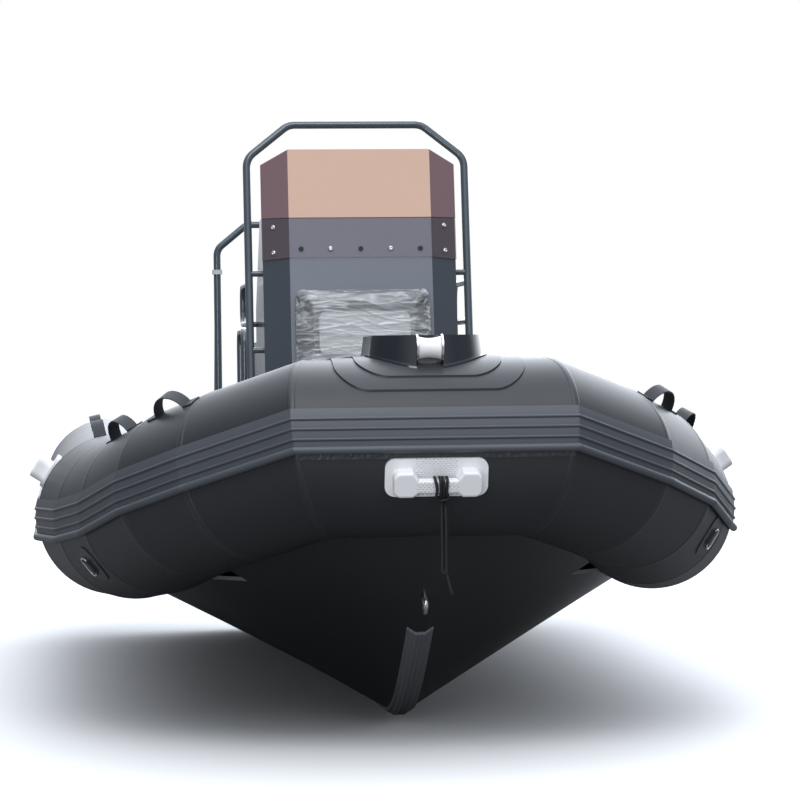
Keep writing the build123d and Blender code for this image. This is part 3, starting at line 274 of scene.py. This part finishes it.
def mix_color(tree, factor, first, second):
    """Mix of two colors, each a socket or a plain color; gives back the output."""
    node = tree.nodes.new("ShaderNodeMix")
    node.data_type = "RGBA"
    sockets = [s for s in node.inputs if s.enabled]
    for socket, value in zip(sockets, (factor, first, second)):
        if isinstance(value, (tuple, float)):
            socket.default_value = (*value, 1.0) if isinstance(value, tuple) else value
        else:
            tree.links.new(value, socket)
    return next(s for s in node.outputs if s.enabled)


def finish_of(name, color, rough, fine=300.0, bump=0.1, depth=0.0005, broad=2.0, metallic=0.0, coat=0.0,
              dust_and_top_light=0.0, spread=0.08, specular=0.5, lines=None, dots=None, panel=None, sides=None):
    """A Principled surface whose color and roughness vary by the grain mask, with bump and patterns, and with
    dust and painted light lightening the faces turned up.

    lines is (axis, spacing, depth) of fine grooves. dots is (spacing, depth, half width) of raised dots.
    panel is (centre z, half width, half height, corner, color) of an inset panel in X and Z. sides is the
    darker color outboard of the console's front face: painted shade on the console's side facets.
    """
    mat = bpy.data.materials.new(name)
    mat.use_nodes = True
    tree = mat.node_tree
    shader = tree.nodes["Principled BSDF"]
    grain = add_group(tree, GRAIN, Fine_scale=fine, Broad_scale=broad)
    lighter = tuple(min(1.0, c * 1.35 + 0.003) for c in color)
    last = mix_color(tree, grain.outputs["Mask"], color, lighter)
    height = math_node(tree, "MULTIPLY", grain.outputs["Height"], depth * bump)
    if panel:
        centre_z, half_width, half_height, corner, inset_color = panel
        box = add_group(tree, BOX, Centre_Z=centre_z, Half_width=half_width, Half_height=half_height,
                        Corner=corner)
        last = mix_color(tree, box.outputs["Inside"], last, inset_color)
        last = mix_color(tree, box.outputs["Edge"], last, tuple(c * 0.5 for c in color))
        height = math_node(tree, "SUBTRACT", height, math_node(tree, "MULTIPLY", box.outputs["Edge"], 0.002))
    # Faces turned up are mixed towards pale grey: partly dust, partly painted light from above
    if dust_and_top_light:
        dusty_and_top_lit = add_group(tree, DUST_AND_TOP_LIGHT, Amount=dust_and_top_light)
        last = mix_color(tree, dusty_and_top_lit.outputs["Mask"], last, (0.34, 0.35, 0.36))
    if lines or dots or sides:
        coords = tree.nodes.new("ShaderNodeTexCoord")
        split = tree.nodes.new("ShaderNodeSeparateXYZ")
        tree.links.new(coords.outputs["Object"], split.inputs[0])
    # Painted shade: outboard of the console's front face the color is darker, for the shaded side facets
    if sides:
        outboard = math_node(tree, "ABSOLUTE", split.outputs["X"])
        last = mix_color(tree, math_node(tree, "GREATER_THAN", outboard, facet_start_x), last, sides)
    if lines:
        axis, spacing, groove = lines
        wave = math_node(tree, "SINE", math_node(tree, "MULTIPLY", split.outputs[axis], 2.0 * pi / spacing))
        height = math_node(tree, "ADD", height, math_node(tree, "MULTIPLY", wave, groove))
    if dots:
        spacing, rise, reach = dots
        waves = [
            math_node(tree, "SINE", math_node(tree, "MULTIPLY", split.outputs[axis], 2.0 * pi / spacing))
            for axis in ("X", "Z")
        ]
        product = math_node(tree, "MULTIPLY", waves[0], waves[1])
        raised = math_node(tree, "MULTIPLY", math_node(tree, "MAXIMUM", product, 0.3), rise)
        on_grip = math_node(tree, "LESS_THAN", math_node(tree, "ABSOLUTE", split.outputs["X"]), reach)
        height = math_node(tree, "ADD", height, math_node(tree, "MULTIPLY", raised, on_grip))
    tree.links.new(last, shader.inputs["Base Color"])
    span = tree.nodes.new("ShaderNodeMapRange")
    span.inputs["To Min"].default_value = max(0.02, rough - spread)
    span.inputs["To Max"].default_value = min(1.0, rough + spread)
    tree.links.new(grain.outputs["Mask"], span.inputs["Value"])
    tree.links.new(span.outputs[0], shader.inputs["Roughness"])
    bumps = tree.nodes.new("ShaderNodeBump")
    bumps.inputs["Strength"].default_value = 1.0
    bumps.inputs["Distance"].default_value = 1.0
    tree.links.new(height, bumps.inputs["Height"])
    tree.links.new(bumps.outputs[0], shader.inputs["Normal"])
    shader.inputs["Metallic"].default_value = metallic
    shader.inputs["Coat Weight"].default_value = coat
    shader.inputs["Specular IOR Level"].default_value = specular
    return mat


# Painted light: the dust mask also lightens the tube's tops as light from above
tube_mat = finish_of("tube_coated_fabric", (0.016, 0.018, 0.021), 0.42, fine=900.0, bump=0.25, depth=0.0004,
                     broad=1.4, dust_and_top_light=0.10, spread=0.05, specular=0.45)
tape_mat = finish_of("seam_tape", (0.020, 0.022, 0.026), 0.40, fine=900.0, bump=0.3, depth=0.0004,
                     broad=3.0, dust_and_top_light=0.08, specular=0.45)
hull_mat = finish_of("hull_gelcoat", (0.012, 0.014, 0.016), 0.22, fine=40.0, bump=0.02, broad=1.1, coat=0.25,
                     dust_and_top_light=0.02, specular=0.35)
deck_mat = finish_of("deck_nonslip", (0.17, 0.18, 0.19), 0.7, fine=260.0, bump=0.6, depth=0.001, dust_and_top_light=0.1)
strake_mat = finish_of("strake_rubber", (0.058, 0.064, 0.076), 0.44, fine=500.0, bump=0.15, dust_and_top_light=0.08,
                       specular=0.45)
band_mat = finish_of("bonding_band", (0.030, 0.033, 0.038), 0.35, fine=90.0, bump=1.2, depth=0.003)
keel_mat = finish_of("keel_rubber", (0.135, 0.135, 0.150), 0.55, fine=500.0, bump=0.2,
                     lines=("X", 0.0123, 0.0011))
# The console's side facets are painted darker: painted shade
console_mat = finish_of("console_gelcoat", (0.150, 0.165, 0.195), 0.30, fine=60.0, bump=0.02, coat=0.3,
                        dust_and_top_light=0.03, sides=(0.062, 0.074, 0.090))
door_mat = finish_of("door_gelcoat", (0.150, 0.165, 0.195), 0.34, fine=60.0, bump=0.02, coat=0.3, dust_and_top_light=0.03)
pipe_mat = finish_of("pipe_coating", (0.060, 0.078, 0.094), 0.20, fine=200.0, bump=0.03, coat=0.7)
steel_mat = finish_of("polished_steel", (0.66, 0.66, 0.66), 0.2, fine=200.0, bump=0.02, metallic=1.0)
handle_mat = finish_of("pale_rubber", (0.70, 0.70, 0.71), 0.5, fine=350.0, bump=0.12,
                       dots=(0.011, 0.0022, 0.055))
step_mat = finish_of("gloss_black_moulding", (0.012, 0.014, 0.020), 0.16, fine=60.0, bump=0.02, coat=0.5)
roller_mat = finish_of("white_roller", (0.88, 0.88, 0.86), 0.35, fine=120.0, bump=0.04)
wheel_mat = finish_of("wheel_grip", (0.012, 0.013, 0.014), 0.5, fine=700.0, bump=0.25)
seat_box_mat = finish_of("seat_box_gelcoat", (0.040, 0.050, 0.060), 0.32, fine=60.0, bump=0.02, coat=0.3,
                         dust_and_top_light=0.03)
vinyl_mat = finish_of("cushion_vinyl", (0.020, 0.021, 0.023), 0.42, fine=420.0, bump=0.25, depth=0.0006)
backrest_mat = finish_of("backrest_vinyl", (0.020, 0.021, 0.023), 0.42, fine=420.0, bump=0.25, depth=0.0006,
                         panel=(0.843, 0.151, 0.072, 0.026, (0.52, 0.52, 0.52)))
webbing_mat = finish_of("webbing", (0.026, 0.030, 0.036), 0.6, fine=1200.0, bump=0.5, depth=0.0006)
cord_mat = finish_of("braided_cord", (0.006, 0.006, 0.007), 0.65, fine=900.0, bump=0.5, depth=0.0006)
collar_mat = finish_of("pale_collar", (0.55, 0.57, 0.58), 0.4, fine=100.0, bump=0.02)
plastic_mat = finish_of("black_moulding", (0.018, 0.020, 0.022), 0.42, fine=200.0, bump=0.06)


def screen_material():
    """Tinted clear sheet: pale orange in front, dark red-brown on the facets as painted shade, and paler and
    hazier below hood_z as painted light.
    """
    mat = bpy.data.materials.new("tinted_screen")
    mat.use_nodes = True
    tree = mat.node_tree
    shader = tree.nodes["Principled BSDF"]
    coords = tree.nodes.new("ShaderNodeTexCoord")
    split = tree.nodes.new("ShaderNodeSeparateXYZ")
    tree.links.new(coords.outputs["Object"], split.inputs[0])
    outboard = math_node(tree, "ABSOLUTE", split.outputs["X"])
    # Painted shade: the same sheet is given a darker tint on the facets
    on_facet = math_node(tree, "GREATER_THAN", outboard, facet_start_x)
    # Painted light: below hood_z, over the console, the sheet is paler and more of its glossy haze is mixed in
    below_hood = math_node(tree, "LESS_THAN", split.outputs["Z"], hood_z)
    front = mix_color(tree, below_hood, (0.85, 0.71, 0.63), (1.0, 0.99, 1.0))
    side = mix_color(tree, below_hood, (0.42, 0.33, 0.35), (0.75, 0.62, 0.66))
    tint = mix_color(tree, on_facet, front, side)
    grain = add_group(tree, GRAIN, Broad_scale=3.0)
    cloud = math_node(tree, "MULTIPLY", grain.outputs["Mask"], 0.05)
    cloudy = mix_color(tree, cloud, tint, (0.70, 0.62, 0.60))
    clear = tree.nodes.new("ShaderNodeBsdfTransparent")
    tree.links.new(cloudy, clear.inputs["Color"])
    shader.inputs["Base Color"].default_value = (0.38, 0.36, 0.40, 1.0)
    shader.inputs["Roughness"].default_value = 0.10
    mixed = tree.nodes.new("ShaderNodeMixShader")
    haze = math_node(tree, "ADD", math_node(tree, "MULTIPLY", below_hood, 0.10), 0.10)
    tree.links.new(haze, mixed.inputs["Fac"])
    tree.links.new(clear.outputs[0], mixed.inputs[1])
    tree.links.new(shader.outputs[0], mixed.inputs[2])
    tree.links.new(mixed.outputs[0], tree.nodes["Material Output"].inputs["Surface"])
    return mat


def film_material():
    """Thin clear film: see-through, mixed with a pale gloss, more of it in sharp streaks where it is creased;
    the pale streaks are painted highlights.
    """
    mat = bpy.data.materials.new("clear_film")
    mat.use_nodes = True
    tree = mat.node_tree
    shader = tree.nodes["Principled BSDF"]
    coords = tree.nodes.new("ShaderNodeTexCoord")
    pulled = tree.nodes.new("ShaderNodeMapping")
    pulled.inputs["Rotation"].default_value = (0.0, radians(8.0), 0.0)
    pulled.inputs["Scale"].default_value = (0.22, 0.8, 1.3)
    crease = tree.nodes.new("ShaderNodeTexNoise")
    crease.inputs["Scale"].default_value = 17.0
    crease.inputs["Detail"].default_value = 2.0
    crease.inputs["Distortion"].default_value = 0.8
    tree.links.new(coords.outputs["Object"], pulled.inputs["Vector"])
    tree.links.new(pulled.outputs[0], crease.inputs["Vector"])
    bumps = tree.nodes.new("ShaderNodeBump")
    bumps.inputs["Strength"].default_value = 1.0
    bumps.inputs["Distance"].default_value = 0.010
    tree.links.new(crease.outputs["Fac"], bumps.inputs["Height"])
    tree.links.new(bumps.outputs[0], shader.inputs["Normal"])
    shader.inputs["Base Color"].default_value = (0.75, 0.78, 0.80, 1.0)
    shader.inputs["Roughness"].default_value = 0.12
    shader.inputs["Specular IOR Level"].default_value = 1.0
    # Painted highlight: along the creases the film is mixed further towards its pale surface
    ridge = math_node(tree, "ABSOLUTE", math_node(tree, "SUBTRACT", crease.outputs["Fac"], 0.5))
    sharp = math_node(tree, "SUBTRACT", 1.0, math_node(tree, "MULTIPLY", ridge, 14.0), clamp=True)
    amount = math_node(tree, "ADD", math_node(tree, "MULTIPLY", sharp, 0.34), 0.30)
    clear = tree.nodes.new("ShaderNodeBsdfTransparent")
    mixed = tree.nodes.new("ShaderNodeMixShader")
    tree.links.new(amount, mixed.inputs["Fac"])
    tree.links.new(clear.outputs[0], mixed.inputs[1])
    tree.links.new(shader.outputs[0], mixed.inputs[2])
    tree.links.new(mixed.outputs[0], tree.nodes["Material Output"].inputs["Surface"])
    return mat


screen_mat = screen_material()
film_mat = film_material()

# Every node that isn't listed is a length of the tube
finishes = (
    (hull_mat, ("hull", "transom")),
    (deck_mat, ("deck",)),
    (keel_mat, ("keel_guard",)),
    (strake_mat, ("strake_bow", "strake_port", "strake_starboard")),
    (band_mat, ("bonding_band",)),
    (console_mat, ("console", "bow_locker")),
    (door_mat, ("console_door", "bow_locker_lid", "front_seat_lid", "driver_seat_lid")),
    (screen_mat, ("windscreen",)),
    (pipe_mat, ("console_hoop", "stern_arch", "driver_rails")),
    (collar_mat, ("arch_collars",)),
    (plastic_mat, ("transom_pad", "helm", "valves", "drains")),
    (wheel_mat, ("steering_wheel",)),
    (seat_box_mat, ("front_seat_box", "driver_seat_box")),
    (vinyl_mat, ("front_seat_cushion", "driver_seat_cushion", "driver_backrest")),
    (backrest_mat, ("front_backrest",)),
    (tape_mat, ("step_patches", "ring_patches")),
    (step_mat, ("bow_step",)),
    (steel_mat, ("roller_cheeks", "d_rings", "bow_eye", "stern_eyes")),
    (roller_mat, ("anchor_roller",)),
    (handle_mat, ("bow_handle", "side_handles")),
    (webbing_mat, ("strap_handles_port", "strap_handles_starboard")),
    (cord_mat, ("painter_loops", "painter_hank", "painter_tail")),
)
paint = {node: finish for finish, names in finishes for node in names}
for name, obj in nodes.items():
    obj.data.materials.clear()
    obj.data.materials.append(paint.get(name, tube_mat))

# The screen's skin is drawn in a hair, so that it isn't in one plane with the console's face behind it
hair = nodes["windscreen"].modifiers.new("hair", "DISPLACE")
hair.strength, hair.mid_level = -screen_inset, 0.0


# Seam tapes: a thin band over each mitre of the collar
def seam_tape(index):
    """Band on both sides of a mitre: a point round the skin slides along its run to the mitre plane.

    Across the band, as shares of the half width and the lift, the surface swells from just under the skin
    and closes again below it.
    """
    before, after = runs[index - 1], runs[index]
    fold = unit(np.cross(before, after))
    plane = unit(before + after)
    turn = np.linspace(0.0, 2.0 * pi, tape_sides, endpoint=False)[:, None]
    across_shares = (
        (before, -1.0, -1.0), (before, -0.5, 0.8), (before, 0.0, 1.0), (after, 0.5, 0.8), (after, 1.0, -1.0),
        (after, 0.0, -5.0), (before, -1.0, -1.0),
    )
    strips = []
    for run, step, rise in across_shares:
        other = np.cross(run, fold)
        around = np.cos(turn) * fold + np.sin(turn) * other
        slide = -(around @ plane)[:, None] * tube_radius / (run @ plane)
        skin = around * (tube_radius + rise * tape_lift)
        strips.append(corners[index] + skin + (slide + step * tape_half_width) * run)
    points = np.stack(strips)
    return points.reshape(-1, 3), grid_faces(len(points), tape_sides)


def mirrored(part):
    """The starboard twin of a set of vertices and faces."""
    points, faces = part
    return points * [-1.0, 1.0, 1.0], faces[:, ::-1]


tapes = [seam_tape(index) for index in range(1, len(runs))]
outward(mesh_piece("seam_tapes", *merged(tapes + [mirrored(tape) for tape in tapes]), tape_mat, "boat"))


# Screws through the windscreen
def rake_point(x, z):
    """Point on the windscreen's outer face at a half width and height, and the way it faces."""
    y = console_front_y + console_rake * (z - deck_z)
    reach = max(0.0, abs(x) - facet_start_x)
    slope = facet_set_back / (facet_end_x - facet_start_x)
    if reach:
        normal = unit(np.array([np.sign(x) * slope, -1.0, console_rake]))
    else:
        normal = rake_normal
    return np.array([x, y + reach * slope, z]) + normal * screen_thickness, normal


# A screw's head as (radius, height): its base, rim, dome and the socket in its middle
screw_profile = (
    (0.0, -0.001), (0.0080, -0.001), (0.0080, 0.0008), (0.0072, 0.0024), (0.0050, 0.0036),
    (0.0026, 0.0038), (0.0024, 0.0018), (0.0, 0.0018),
)
screw_places = (
    (-0.0995, 1.121), (0.0995, 1.121), (-0.283, 1.193), (-0.283, 1.109), (0.278, 1.197), (0.280, 1.113),
)
cap_places = ((-0.197, 1.121), (0.0, 1.121), (0.197, 1.121))
for name, places, finish in (("screen_screws", screw_places, steel_mat),
                             ("screen_screw_caps", cap_places, plastic_mat)):
    heads = [lathe(screw_profile, *rake_point(x, z), screw_sides) for x, z in places]
    outward(mesh_piece(name, *merged(heads), finish, "boat"))


# Padded pieces
def solid_mesh(node):
    """A copy of a CAD node's mesh with its doubles merged."""
    work = bmesh.new()
    work.from_mesh(nodes[node].data)
    bmesh.ops.remove_doubles(work, verts=work.verts, dist=1e-5)
    bmesh.ops.recalc_face_normals(work, faces=work.faces)
    mesh = bpy.data.meshes.new(node + "_merged")
    work.to_mesh(mesh)
    work.free()
    return mesh


def vertex_array(mesh):
    """Vertex places of a mesh as an array."""
    points = np.empty(len(mesh.vertices) * 3, np.float32)
    mesh.vertices.foreach_get("co", points)
    return points.reshape(-1, 3).astype(float)


def evaluated(obj):
    """Plain mesh of what an object's modifiers make now."""
    graph = bpy.context.evaluated_depsgraph_get()
    return bpy.data.meshes.new_from_object(obj.evaluated_get(graph), depsgraph=graph)


def cushion(node, body, face, voxel, cap, material):
    """Padded piece: the solid, drawn in a little and blown up as cloth, its base held and its swelling capped."""
    obj = bpy.data.objects.new(node + "_padded", solid_mesh(node))
    bpy.context.scene.collection.objects.link(obj)
    face = unit(face)
    points = vertex_array(obj.data)
    low, high = points.min(0), points.max(0)
    middle = (low + high) / 2.0
    base = (points @ face).min()
    drawn = middle + (points - middle) * (1.0 - 2.0 * cushion_draw_in / np.maximum(high - low, 0.05))
    drawn += face * (base - (drawn @ face).min())
    obj.data.vertices.foreach_set("co", drawn.astype(np.float32).ravel())
    remesh = obj.modifiers.new("voxels", "REMESH")
    remesh.mode = "VOXEL"
    remesh.voxel_size = voxel
    remesh.use_smooth_shade = True
    obj.data = evaluated(obj)
    obj.modifiers.clear()
    before = vertex_array(obj.data)
    held = obj.vertex_groups.new(name="held")
    depth = before @ face - base
    held.add(np.flatnonzero(depth < voxel * 1.2).tolist(), 1.0, "REPLACE")
    cloth = obj.modifiers.new("cloth", "CLOTH")
    cloth.settings.use_pressure = True
    cloth.settings.uniform_pressure_force = cloth_pressure
    cloth.settings.effector_weights.gravity = 0.0
    cloth.settings.vertex_group_mass = "held"
    cloth.point_cache.frame_start = 1
    cloth.point_cache.frame_end = cloth_frames
    for step in range(1, cloth_frames + 1):
        bpy.context.scene.frame_set(step)
    swollen = vertex_array(evaluated(obj))
    obj.modifiers.clear()
    obj.vertex_groups.clear()
    bpy.context.scene.frame_set(1)
    move = swollen - before
    far = np.linalg.norm(move, axis=1, keepdims=True)
    after = before + move * np.minimum(1.0, cap / np.maximum(far, 1e-9))
    obj.data.vertices.foreach_set("co", after.astype(np.float32).ravel())
    obj.data.update()
    obj.data.polygons.foreach_set("use_smooth", np.ones(len(obj.data.polygons), bool))
    obj.data.materials.clear()
    obj.data.materials.append(material)
    finer = obj.modifiers.new("finer", "SUBSURF")
    finer.levels = finer.render_levels = 1
    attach(obj, body)
    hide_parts(node)
    return obj


def creases(points, face, seed):
    """Stretched folds: sharp ridges that run across the boat, a little slanted and bent, in patches.

    A ridge is (1 - |sin|) to the fourth power of a line's phase, and its patch is a slow sine of the place.
    """
    rng = np.random.default_rng(seed)
    along = unit(np.cross(face, [1.0, 0.0, 0.0]))
    height = np.zeros(len(points))
    for _ in range(fold_count):
        way = along + np.array([rng.uniform(-0.22, 0.22), 0.0, 0.0])
        bend = points @ rng.normal(size=3) * rng.uniform(4.0, 9.0)
        phase = points @ way * rng.uniform(60.0, 130.0) + 1.3 * np.sin(bend) + rng.uniform(0.0, pi)
        patch_phase = points[:, 0] * rng.uniform(6.0, 14.0) + bend + rng.uniform(0.0, 2.0 * pi)
        height += (0.5 + 0.5 * np.sin(patch_phase)) * (1.0 - np.abs(np.sin(phase))) ** 4
    return height / 3.0


def film_over(cushion_obj, body, face, seed):
    """Clear film pulled over a cushion and open behind it: the skin raised along its normals and folded."""
    face = unit(face)
    mesh = cushion_obj.data.copy()
    work = bmesh.new()
    work.from_mesh(mesh)
    base = min(vertex.co @ Vector(face) for vertex in work.verts)
    behind = [f for f in work.faces if f.calc_center_median() @ Vector(face) < base + film_base_gap]
    bmesh.ops.delete(work, geom=behind, context="FACES")
    bmesh.ops.subdivide_edges(work, edges=work.edges, cuts=1, use_grid_fill=True)
    work.normal_update()
    work.to_mesh(mesh)
    work.free()
    normals = np.empty(len(mesh.vertices) * 3, np.float32)
    mesh.vertices.foreach_get("normal", normals)
    points = vertex_array(mesh)
    off_base = np.clip((points @ face - base) / film_rise_depth, 0.0, 1.0)
    rise = off_base * (film_lift + film_fold_height * creases(points, face, seed))
    raised = points + normals.reshape(-1, 3) * rise[:, None]
    mesh.vertices.foreach_set("co", raised.astype(np.float32).ravel())
    mesh.polygons.foreach_set("use_smooth", np.ones(len(mesh.polygons), bool))
    mesh.materials.clear()
    mesh.materials.append(film_mat)
    film = bpy.data.objects.new(cushion_obj.name.replace("_padded", "_film"), mesh)
    bpy.context.scene.collection.objects.link(film)
    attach(film, body)


# Each cushion's node, body, face direction, voxel, greatest swelling, finish and the film's flat cut.
# The cut is the drawn-in face and, on all four sides, the depth down to the film's gap from the base.
seats = (
    ("front_backrest", "boat", tuple(rake_normal), 0.006, 0.016, backrest_mat, (0.550, 0.404)),
    ("front_seat_cushion", "front_lid", (0.0, 0.0, 1.0), 0.006, 0.016, vinyl_mat, (0.548, 0.503)),
    ("driver_seat_cushion", "driver_lid", (0.0, 0.0, 1.0), 0.007, 0.016, vinyl_mat, (0.688, 0.490)),
    ("driver_backrest", "boat", (0.0, -1.0, 0.0), 0.007, 0.014, vinyl_mat, (0.550, 0.404)),
)
for seed, (node, body, face, voxel, cap, material, film_size) in enumerate(seats, 3):
    pad = cushion(node, body, face, voxel, cap, material)
    film_over(pad, body, face, seed)

# Painter: one cord, with its turns round the grip, a knot round the strands, a hanging bight and a loose tail
handle_out = np.array([0.0, -cos(handle_angle), sin(handle_angle)])
handle_up = np.array([0.0, sin(handle_angle), cos(handle_angle)])
bar_centre = (np.array(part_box("painter_loops")[0]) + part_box("painter_loops")[1]) / 2.0
under_bar = np.array([0.015, *(bar_centre - handle_up * 0.030)[1:]])

# One turn as (out, up) from the bar's middle: up the front, over, down the back and under
turn_outline = (
    (0.0163, -0.0100), (0.0163, 0.0100), (0.0145, 0.0205), (0.0060, 0.0229), (-0.0060, 0.0229),
    (-0.0145, 0.0205), (-0.0163, 0.0100), (-0.0163, -0.0100), (-0.0145, -0.0205), (-0.0060, -0.0229),
    (0.0060, -0.0229), (0.0145, -0.0205),
)
turn_tops = (-0.0085, 0.0044, 0.0127, 0.0230)
turn_bottoms = (-0.0010, 0.0070, 0.0145, 0.0215, 0.0215)
route = []
for top_x, bottom_x, next_x in zip(turn_tops, turn_bottoms, turn_bottoms[1:]):
    across = np.interp(np.arange(12), (0, 2, 5, 8), (bottom_x * 0.75 + top_x * 0.25, top_x, top_x, next_x))
    for x, (out, rise) in zip(across, turn_outline):
        route.append(bar_centre + [x, 0.0, 0.0] + handle_out * out + handle_up * rise)
route = [bar_centre + [-0.006, 0.0, 0.0] + handle_out * 0.011 - handle_up * 0.031] + route[:-3]

# The rest as (across, aft, up) from under the bar: knot, strand down, fold, strand up, strand behind, tail
knot_and_hank = (
    (0.010, 0.004, 0.006), (0.013, -0.006, 0.004), (0.004, -0.013, 0.003), (-0.008, -0.010, 0.001),
    (-0.014, -0.001, 0.000), (-0.009, 0.010, -0.001), (0.002, 0.013, -0.002), (0.011, 0.008, -0.004),
    (0.014, -0.003, -0.006), (0.005, -0.013, -0.007), (-0.007, -0.011, -0.009), (-0.013, -0.002, -0.011),
    (-0.006, 0.008, -0.012), (0.003, 0.006, -0.016), (0.005, 0.000, -0.030), (0.006, -0.002, -0.085),
    (0.005, 0.000, -0.140), (0.005, 0.000, -0.186), (0.004, 0.000, -0.198), (-0.003, 0.000, -0.203),
    (-0.006, 0.000, -0.192), (-0.004, 0.001, -0.150), (-0.005, -0.001, -0.090), (-0.005, 0.000, -0.030),
    (-0.004, 0.000, 0.002), (0.001, 0.006, 0.006), (0.003, 0.010, -0.002), (0.001, 0.008, -0.040),
    (0.000, 0.008, -0.120), (0.003, 0.007, -0.178), (0.010, 0.003, -0.222), (0.020, 0.000, -0.255),
)
route += [under_bar + offset for offset in knot_and_hank]
line = bpy.data.curves.new("painter", "CURVE")
line.dimensions = "3D"
line.bevel_depth = cord_diameter / 2.0
line.bevel_resolution = 5
line.resolution_u = 4
line.use_fill_caps = True
spline = line.splines.new("NURBS")
spline.points.add(len(route) - 1)
for point, place in zip(spline.points, route):
    point.co = (*place, 1.0)
spline.order_u = 3
spline.use_endpoint_u = True
line.materials.append(cord_mat)
painter = bpy.data.objects.new("painter", line)
bpy.context.scene.collection.objects.link(painter)
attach(painter, "boat")
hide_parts("painter_loops", "painter_hank", "painter_tail")

# Stage, light and camera
keel_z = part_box("keel_guard")[0][2]
bpy.ops.mesh.primitive_plane_add(size=floor_size, location=(0.0, floor_centre_y, keel_z - floor_gap))
floor = bpy.context.object
floor.name = "floor"
floor_mat = bpy.data.materials.new("pale_floor")
floor_mat.use_nodes = True
floor_tree = floor_mat.node_tree
floor_tree.nodes.remove(floor_tree.nodes["Principled BSDF"])
floor_look = floor_tree.nodes.new("ShaderNodeMixShader")
floor_path = floor_tree.nodes.new("ShaderNodeLightPath")
floor_tree.links.new(floor_path.outputs["Is Camera Ray"], floor_look.inputs["Fac"])
for socket, shade in zip(floor_look.inputs[1:], (0.20, 0.90)):
    matt = floor_tree.nodes.new("ShaderNodeBsdfDiffuse")
    matt.inputs["Color"].default_value = (shade, shade, shade, 1.0)
    floor_tree.links.new(matt.outputs[0], socket)
floor_tree.links.new(floor_look.outputs[0], floor_tree.nodes["Material Output"].inputs["Surface"])
floor.data.materials.append(floor_mat)

# Studio: a white backdrop and cool light from overhead and behind, weaker towards starboard
bpy.context.scene.view_settings.view_transform = "Standard"
world = bpy.data.worlds.new("studio")
bpy.context.scene.world = world
world.use_nodes = True
sky = world.node_tree
sky_coords = sky.nodes.new("ShaderNodeTexCoord")
sky_split = sky.nodes.new("ShaderNodeSeparateXYZ")
sky.links.new(sky_coords.outputs["Generated"], sky_split.inputs[0])


def sky_ramp(axis, start, end, low, high):
    """Smooth step of one direction component from a low to a high strength."""
    ramp = sky.nodes.new("ShaderNodeMapRange")
    ramp.interpolation_type = "SMOOTHSTEP"
    for label, value in zip(("From Min", "From Max", "To Min", "To Max"), (start, end, low, high)):
        ramp.inputs[label].default_value = value
    sky.links.new(sky_split.outputs[axis], ramp.inputs["Value"])
    return ramp.outputs[0]


across_sky = math_node(sky, "MULTIPLY", sky_split.outputs["X"], sky_split.outputs["X"])
narrow = math_node(sky, "SUBTRACT", 1.0, math_node(sky, "MULTIPLY", across_sky, 1.5), clamp=True)
overhead = math_node(sky, "MULTIPLY", sky_ramp("Z", 0.0, 0.75, 0.05, 1.65), narrow)
aft = sky_ramp("Y", 0.1, 0.95, 0.0, 2.5)
aft_above_horizon = math_node(sky, "MULTIPLY", aft, sky_ramp("Z", -0.02, 0.12, 0.0, 1.0))
behind = math_node(sky, "MULTIPLY", aft_above_horizon, sky_ramp("X", -0.30, 0.10, 0.06, 1.35))
all_round = sky_ramp("X", 0.1, -0.9, 0.30, 0.17)
strength = math_node(sky, "ADD", math_node(sky, "ADD", overhead, behind), all_round)
background = sky.nodes["Background"]
background.inputs["Color"].default_value = (0.87, 0.92, 1.0, 1.0)
sky.links.new(strength, background.inputs["Strength"])
backdrop = sky.nodes.new("ShaderNodeBackground")
backdrop.inputs["Color"].default_value = (1.0, 1.0, 1.0, 1.0)
sky_path = sky.nodes.new("ShaderNodeLightPath")
sky_mix = sky.nodes.new("ShaderNodeMixShader")
sky.links.new(sky_path.outputs["Is Camera Ray"], sky_mix.inputs["Fac"])
sky.links.new(background.outputs[0], sky_mix.inputs[1])
sky.links.new(backdrop.outputs[0], sky_mix.inputs[2])
sky.links.new(sky_mix.outputs[0], sky.nodes["World Output"].inputs["Surface"])


def area(name, place, target, size, power):
    """Soft rectangular light aimed at a point."""
    data = bpy.data.lights.new(name, "AREA")
    data.shape = "RECTANGLE"
    data.size, data.size_y = size
    data.energy = power
    lamp = bpy.data.objects.new(name, data)
    bpy.context.scene.collection.objects.link(lamp)
    lamp.location = place
    lamp.rotation_euler = (Vector(target) - Vector(place)).to_track_quat("-Z", "Y").to_euler()


area("key", (-0.8, -6.0, 6.0), (0.0, -1.5, 0.3), (4.0, 3.0), 125.0)
area("low", (-2.6, -8.5, 0.6), (-0.3, -1.9, 0.1), (2.0, 2.0), 70.0)

camera_data = bpy.data.cameras.new("camera")
camera_data.lens = camera_lens
camera_data.sensor_width = sensor_width
camera_data.clip_end = 200.0
camera = bpy.data.objects.new("camera", camera_data)
bpy.context.scene.collection.objects.link(camera)
bpy.context.scene.camera = camera


def aim(place, yaw, pitch, roll):
    """Camera pose: yaw from +Y towards +X, pitch up, roll about the view line, in degrees."""
    a, b, c = radians(yaw), radians(pitch), radians(roll)
    forward = Vector((sin(a) * cos(b), cos(a) * cos(b), sin(b)))
    right = Vector((cos(a), -sin(a), 0.0))
    up_way = right.cross(forward)
    side = right * cos(c) + up_way * sin(c)
    top = up_way * cos(c) - right * sin(c)
    turn = Matrix((side, top, -forward)).transposed().to_4x4()
    camera.matrix_world = Matrix.Translation(place) @ turn


aim(camera_place, camera_yaw, camera_pitch, camera_roll)
